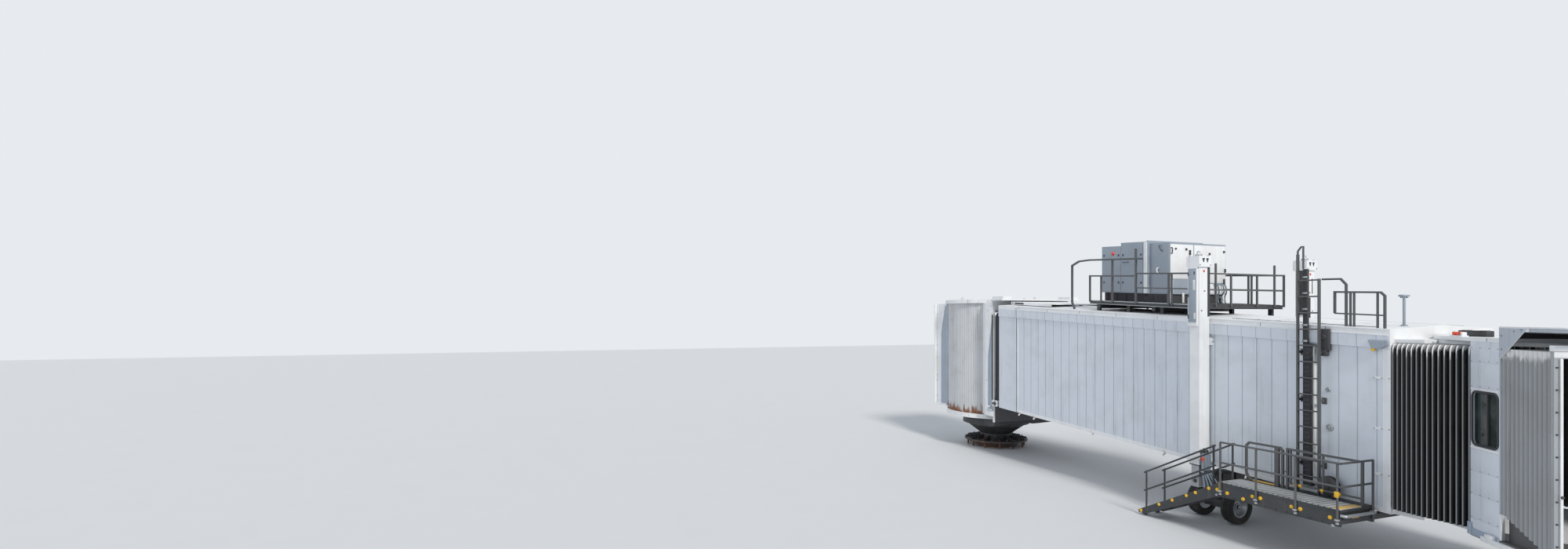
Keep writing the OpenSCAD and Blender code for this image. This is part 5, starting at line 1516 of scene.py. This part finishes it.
class BRIDGE_OT_cab_trim(bpy.types.Operator):
    """Panel sheets, window frame, hood liner, bumpers and lamps of the cab"""

    bl_idname = "bridge.cab_trim"
    bl_label = "Cab Trim"

    def execute(self, context):
        size = context.scene.bridge_sizes.bolt_size
        self.sheets(size)
        self.window()
        self.hood(size)
        self.fender()
        self.roof_items()
        self.closure_trim(size)
        return {"FINISHED"}

    def sheets(self, size):
        """Wall sheets with joints between them."""
        out = -CAB_HALF
        a0 = CAB_BACK + 0.004
        a1 = CAB_FRONT - 0.004
        joints = [(1.165, 1.308), (1.314, 1.685), (1.691, 2.045)]
        joints += [(2.051, 2.385), (3.335, 3.725), (3.731, 4.042)]
        made = cab_blocks(*[(a0, out - 0.005, z0, a1, out + 0.001, z1, 0.0015) for z0, z1 in joints])
        cab_twin(made, "cab_sheets", "wall_paint")
        heads = []
        for z in (1.33, 1.70, 2.06, 3.36, 3.75, 3.95):
            heads += [cab_point(a0 + 0.03 + k * (a1 - a0 - 0.06) / 3, out - 0.0045, z) for k in range(4)]
        cab_twin(bolts(heads, CAB_OUT, size * 0.45), "cab_screws", "zinc")
        sill = cab_blocks(
            (a0, out - 0.014, 1.045, a1 + 0.01, out + 0.0005, 1.155, 0.004),
            (CAB_BACK - 0.03, out - 0.03, 1.05, CAB_BACK + 0.05, out + 0.0005, 1.24, 0.005),
        )
        cab_twin(sill, "cab_sill", "panel_blue")

    def window(self):
        """Rubber gasket, sliding frame and outer strips of the side window."""
        out = -CAB_HALF
        low, high = (2.45, 3.28)
        x0, x1 = (0.745, 1.295)
        r = 0.09
        corners = [(x0 + r, low + r, 180), (x1 - r, low + r, 270)]
        corners += [(x1 - r, high - r, 0), (x0 + r, high - r, 90)]
        path = []
        for x, z, start in corners:
            for k in range(7):
                spot = on_circle(r, start + k * 15)
                path.append(cab_point(x + spot.x, out - 0.004, z + spot.y))
        gasket = tube(path, 0.014, 2, closed=True)
        y0, y1 = (out + 0.010, out + 0.026)
        rails = cab_blocks(
            (1.035, out + 0.004, low + 0.004, 1.062, out + 0.028, high - 0.004, 0.003),
            (x0 + 0.05, y0, low + 0.006, x1 - 0.05, y1, low + 0.026, 0.003),
            (x0 + 0.05, y0, high - 0.026, x1 - 0.05, y1, high - 0.006, 0.003),
            (x1 - 0.028, y0, low + 0.09, x1 - 0.006, y1, high - 0.09, 0.003),
        )
        cab_twin([gasket] + rails, "window_gasket", "black_rubber")
        a0, a1 = (CAB_BACK + 0.004, CAB_FRONT - 0.004)
        strips = cab_blocks(
            (a0, out - 0.007, high + 0.018, a1, out + 0.001, high + 0.048, 0.002),
            (a0, out - 0.007, low - 0.058, a1, out + 0.001, low - 0.02, 0.002),
        )
        cab_twin(strips, "window_strips", "plain_white")

    def hood(self, size):
        """Liner, lip and gusset screws of the hood."""
        rows = [(1.37, -1.40, 4.196, 2.56, 1.40, 4.2125, 0.002)]
        rows.append((1.366, -1.42, 4.11, 1.376, 1.42, 4.20, 0.002))
        for k in range(7):
            y = -1.26 + k * 0.42
            rows.append((1.376, y - 0.015, 4.11, 1.42, y + 0.015, 4.198, 0.003))
        done(cab_blocks(*rows), "hood_liner", "black_rubber", "cab")
        lip = cab_blocks(
            (1.33, -1.468, 4.262, 2.553, -1.4495, 4.286, 0.003),
            (1.33, 1.4495, 4.262, 2.553, 1.468, 4.286, 0.003),
            (2.5845, -1.42, 4.214, 2.591, 1.42, 4.284, 0.003),
        )
        done(lip, "hood_lip", "plain_white", "cab")
        gusset = [cab_point(a, -1.4615, z) for a, z in ((1.328, 3.798), (1.866, 4.2825), (1.328, 4.2825))]
        grey = [prism(gusset, CAB_OUT * 0.003, 0.001)]
        grey += cab_blocks((1.88, -1.4535, 4.2155, 2.553, -1.4495, 4.2615, 0.001))
        cab_twin(grey, "hood_plates", "hood_paint")
        spots = ((1.38, 3.95), (1.38, 4.15), (1.62, 4.22), (1.76, 4.24))
        places = [cab_point(a, -1.4645, z) for a, z in spots]
        cab_twin(bolts(places, CAB_OUT, size * 0.7), "gusset_bolts", "zinc")

    def fender(self):
        """Pale side bumper with its marked end, bracket and corner bar."""
        pale = cab_blocks(
            (1.028, -1.517, 1.036, 2.148, -1.5105, 1.106, 0.003),
            (1.028, -1.517, 1.1025, 2.148, -1.452, 1.108, 0.002),
            (1.12, -1.525, 1.106, 1.27, -1.466, 1.165, 0.008),
            (1.329, -1.463, 1.14, 1.375, -1.4505, 1.52, 0.004),
        )
        cab_twin(pale, "side_bumper", "plain_white")
        red = cab_blocks(*[(a, -1.5185, 1.036, a + 0.1, -1.5165, 1.107, 0.001) for a in (1.72, 1.93)])
        cab_twin(red, "bumper_marks", "signal_red")
        middles = [-1.28 + k * 0.32 for k in range(9)]
        rubber = cab_blocks(*[(2.149, y - 0.13, 1.045, 2.205, y + 0.13, 1.118, 0.02) for y in middles])
        done(rubber, "front_bumper", "black_rubber", "cab")

    def roof_items(self):
        """Marker lamp and cable box on the cab's roof."""
        box = cab_blocks(
            (-0.10, -1.16, 4.1075, 0.55, -1.05, 4.205, 0.01),
            (0.0, -1.17, 4.18, 0.03, -1.04, 4.21, 0.003),
            (0.42, -1.17, 4.18, 0.45, -1.04, 4.21, 0.003),
        )
        done(box, "roof_cable_box", "dark_paint", "cab")
        lamp = cab_blocks(
            (0.17, -1.40, 4.125, 0.24, -1.32, 4.185, 0.015),
            (0.28, -1.40, 4.125, 0.36, -1.32, 4.185, 0.015),
        )
        done(lamp, "roof_marker", "signal_red", "cab")
        base = cab_blocks(
            (0.14, -1.41, 4.1075, 0.42, -1.31, 4.127, 0.004),
            (0.365, -1.395, 4.125, 0.41, -1.325, 4.18, 0.01),
        )
        done(base, "marker_base", "plain_white", "cab")

    def closure_trim(self, size):
        """Head beam, bumper pads and screws on the closure's frame."""
        beam = cab_blocks(
            (2.225, -1.452, 3.961, 2.312, 1.452, 4.045, 0.01),
            (2.3095, -1.452, 3.88, 2.318, 1.452, 3.958, 0.002),
        )
        done(beam, "closure_head", "plain_white", "closure")
        places = [cab_point(2.311, -1.42, 1.35 + k * 0.3) for k in range(9)]
        screws = bolts(places, CAB_AHEAD, size * 0.7)
        cab_twin(screws, "closure_screws", "dark_paint", "closure")
        pads = cab_blocks((2.3095, -1.395, 1.15, 2.335, -1.362, 3.87, 0.008))
        cab_twin(pads, "closure_pads", "plain_white", "closure")
        knob = rod(cab_point(2.333, -1.378, 2.02), cab_point(2.35, -1.378, 2.02), 0.02, 16, 0.004)
        cab_twin([knob], "closure_knobs", "black_rubber", "closure")


class BRIDGE_OT_studio(bpy.types.Operator):
    """Pale floor, soft lights and the camera"""

    bl_idname = "bridge.studio"
    bl_label = "Studio"

    def execute(self, context):
        tone = context.scene.bridge_colours
        deselect()
        bpy.ops.mesh.primitive_grid_add(size=160, location=(8, 0, 0), x_subdivisions=8, y_subdivisions=8)
        floor = settle(bpy.context.object)
        floor.name = "studio_floor"
        tree = new_material("studio_floor")
        grain = noise(tree, object_place(tree), 0.8, 3.0)
        pale = tuple(min(1, c * 1.04) for c in tone.floor)
        put(shader_of(tree), "Base Color", mixed(tree, grain, tone.floor, pale))
        put(shader_of(tree), "Roughness", 0.8)
        floor.data.materials.append(bpy.data.materials["studio_floor"])
        self.world(context)
        self.lamps()
        camera = bpy.data.cameras.new("camera")
        camera.lens = 16.2
        camera.sensor_width = 36
        camera.shift_y = 0.026
        camera.clip_end = 300
        eye = bpy.data.objects.new("camera", camera)
        eye.location = (20.25, -15.49, 4.45)
        eye.rotation_euler = (math.radians(90), 0, math.radians(69.3))
        context.scene.collection.objects.link(eye)
        context.scene.camera = eye
        context.scene.view_settings.view_transform = "Standard"
        return {"FINISHED"}

    def world(self, context):
        """A plain pale surround."""
        world = bpy.data.worlds.new("surround")
        context.scene.world = world
        world.use_nodes = True
        tree = world.node_tree
        lit = tree.nodes["Background"]
        put(lit, "Color", (0.80, 0.86, 0.94))
        put(lit, "Strength", 0.62)
        seen = add_node(tree, "Background", {"Color": (0.80, 0.83, 0.86), "Strength": 1.0})
        path = add_node(tree, "LightPath", {}).outputs
        either = maths(tree, "MAXIMUM", path["Is Camera Ray"], path["Is Glossy Ray"])
        mix = add_node(tree, "MixShader", {0: either, 1: lit.outputs[0], 2: seen.outputs[0]})
        put(tree.nodes["World Output"], "Surface", mix.outputs[0])

    def lamps(self):
        """A soft sun from the right and a weak one from the left."""
        for name, aim, power, spread, colour in (
            ("key", (-0.78, 0.10, -0.62), 2.3, 12, (1.0, 0.97, 0.92)),
            ("fill", (0.35, 0.75, -0.45), 0.45, 60, (0.86, 0.92, 1.0)),
        ):
            lamp = bpy.data.lights.new(name, "SUN")
            lamp.energy = power
            lamp.angle = math.radians(spread)
            lamp.color = colour
            obj = bpy.data.objects.new(name, lamp)
            obj.rotation_euler = Vector(aim).to_track_quat("-Z", "Y").to_euler()
            bpy.context.scene.collection.objects.link(obj)


class BRIDGE_PT_panel(bpy.types.Panel):
    """Lists the steps that build the bridge's looks"""

    bl_idname = "BRIDGE_PT_panel"
    bl_label = "Jet Bridge"
    bl_space_type = "VIEW_3D"
    bl_region_type = "UI"
    bl_category = "Jet Bridge"

    def draw(self, context):
        for settings in (context.scene.bridge_sizes, context.scene.bridge_colours):
            for name in settings.__annotations__:
                self.layout.prop(settings, name)
        for step in STEPS:
            self.layout.operator(step.bl_idname)


STEPS = (
    BRIDGE_OT_finishes,
    BRIDGE_OT_curtains,
    BRIDGE_OT_cab_bellows,
    BRIDGE_OT_closure,
    BRIDGE_OT_portal_seal,
    BRIDGE_OT_wheels,
    BRIDGE_OT_rotunda_trim,
    BRIDGE_OT_portal_trim,
    BRIDGE_OT_wall_trim,
    BRIDGE_OT_column_trim,
    BRIDGE_OT_air_handler_trim,
    BRIDGE_OT_ladder_trim,
    BRIDGE_OT_lamp_post,
    BRIDGE_OT_deck_trim,
    BRIDGE_OT_stair_trim,
    BRIDGE_OT_carriage_trim,
    BRIDGE_OT_cab_trim,
    BRIDGE_OT_studio,
)
CLASSES = (BridgeSizes, BridgeColours, *STEPS, BRIDGE_PT_panel)


def register():
    for item in CLASSES:
        bpy.utils.register_class(item)
    bpy.types.Scene.bridge_sizes = bpy.props.PointerProperty(type=BridgeSizes)
    bpy.types.Scene.bridge_colours = bpy.props.PointerProperty(type=BridgeColours)


def unregister():
    del bpy.types.Scene.bridge_colours
    del bpy.types.Scene.bridge_sizes
    for item in reversed(CLASSES):
        bpy.utils.unregister_class(item)


def main():
    register()
    deselect()
    for step in STEPS:
        group, name = step.bl_idname.split(".")
        getattr(getattr(bpy.ops, group), name)()


if __name__ == "__main__":
    main()
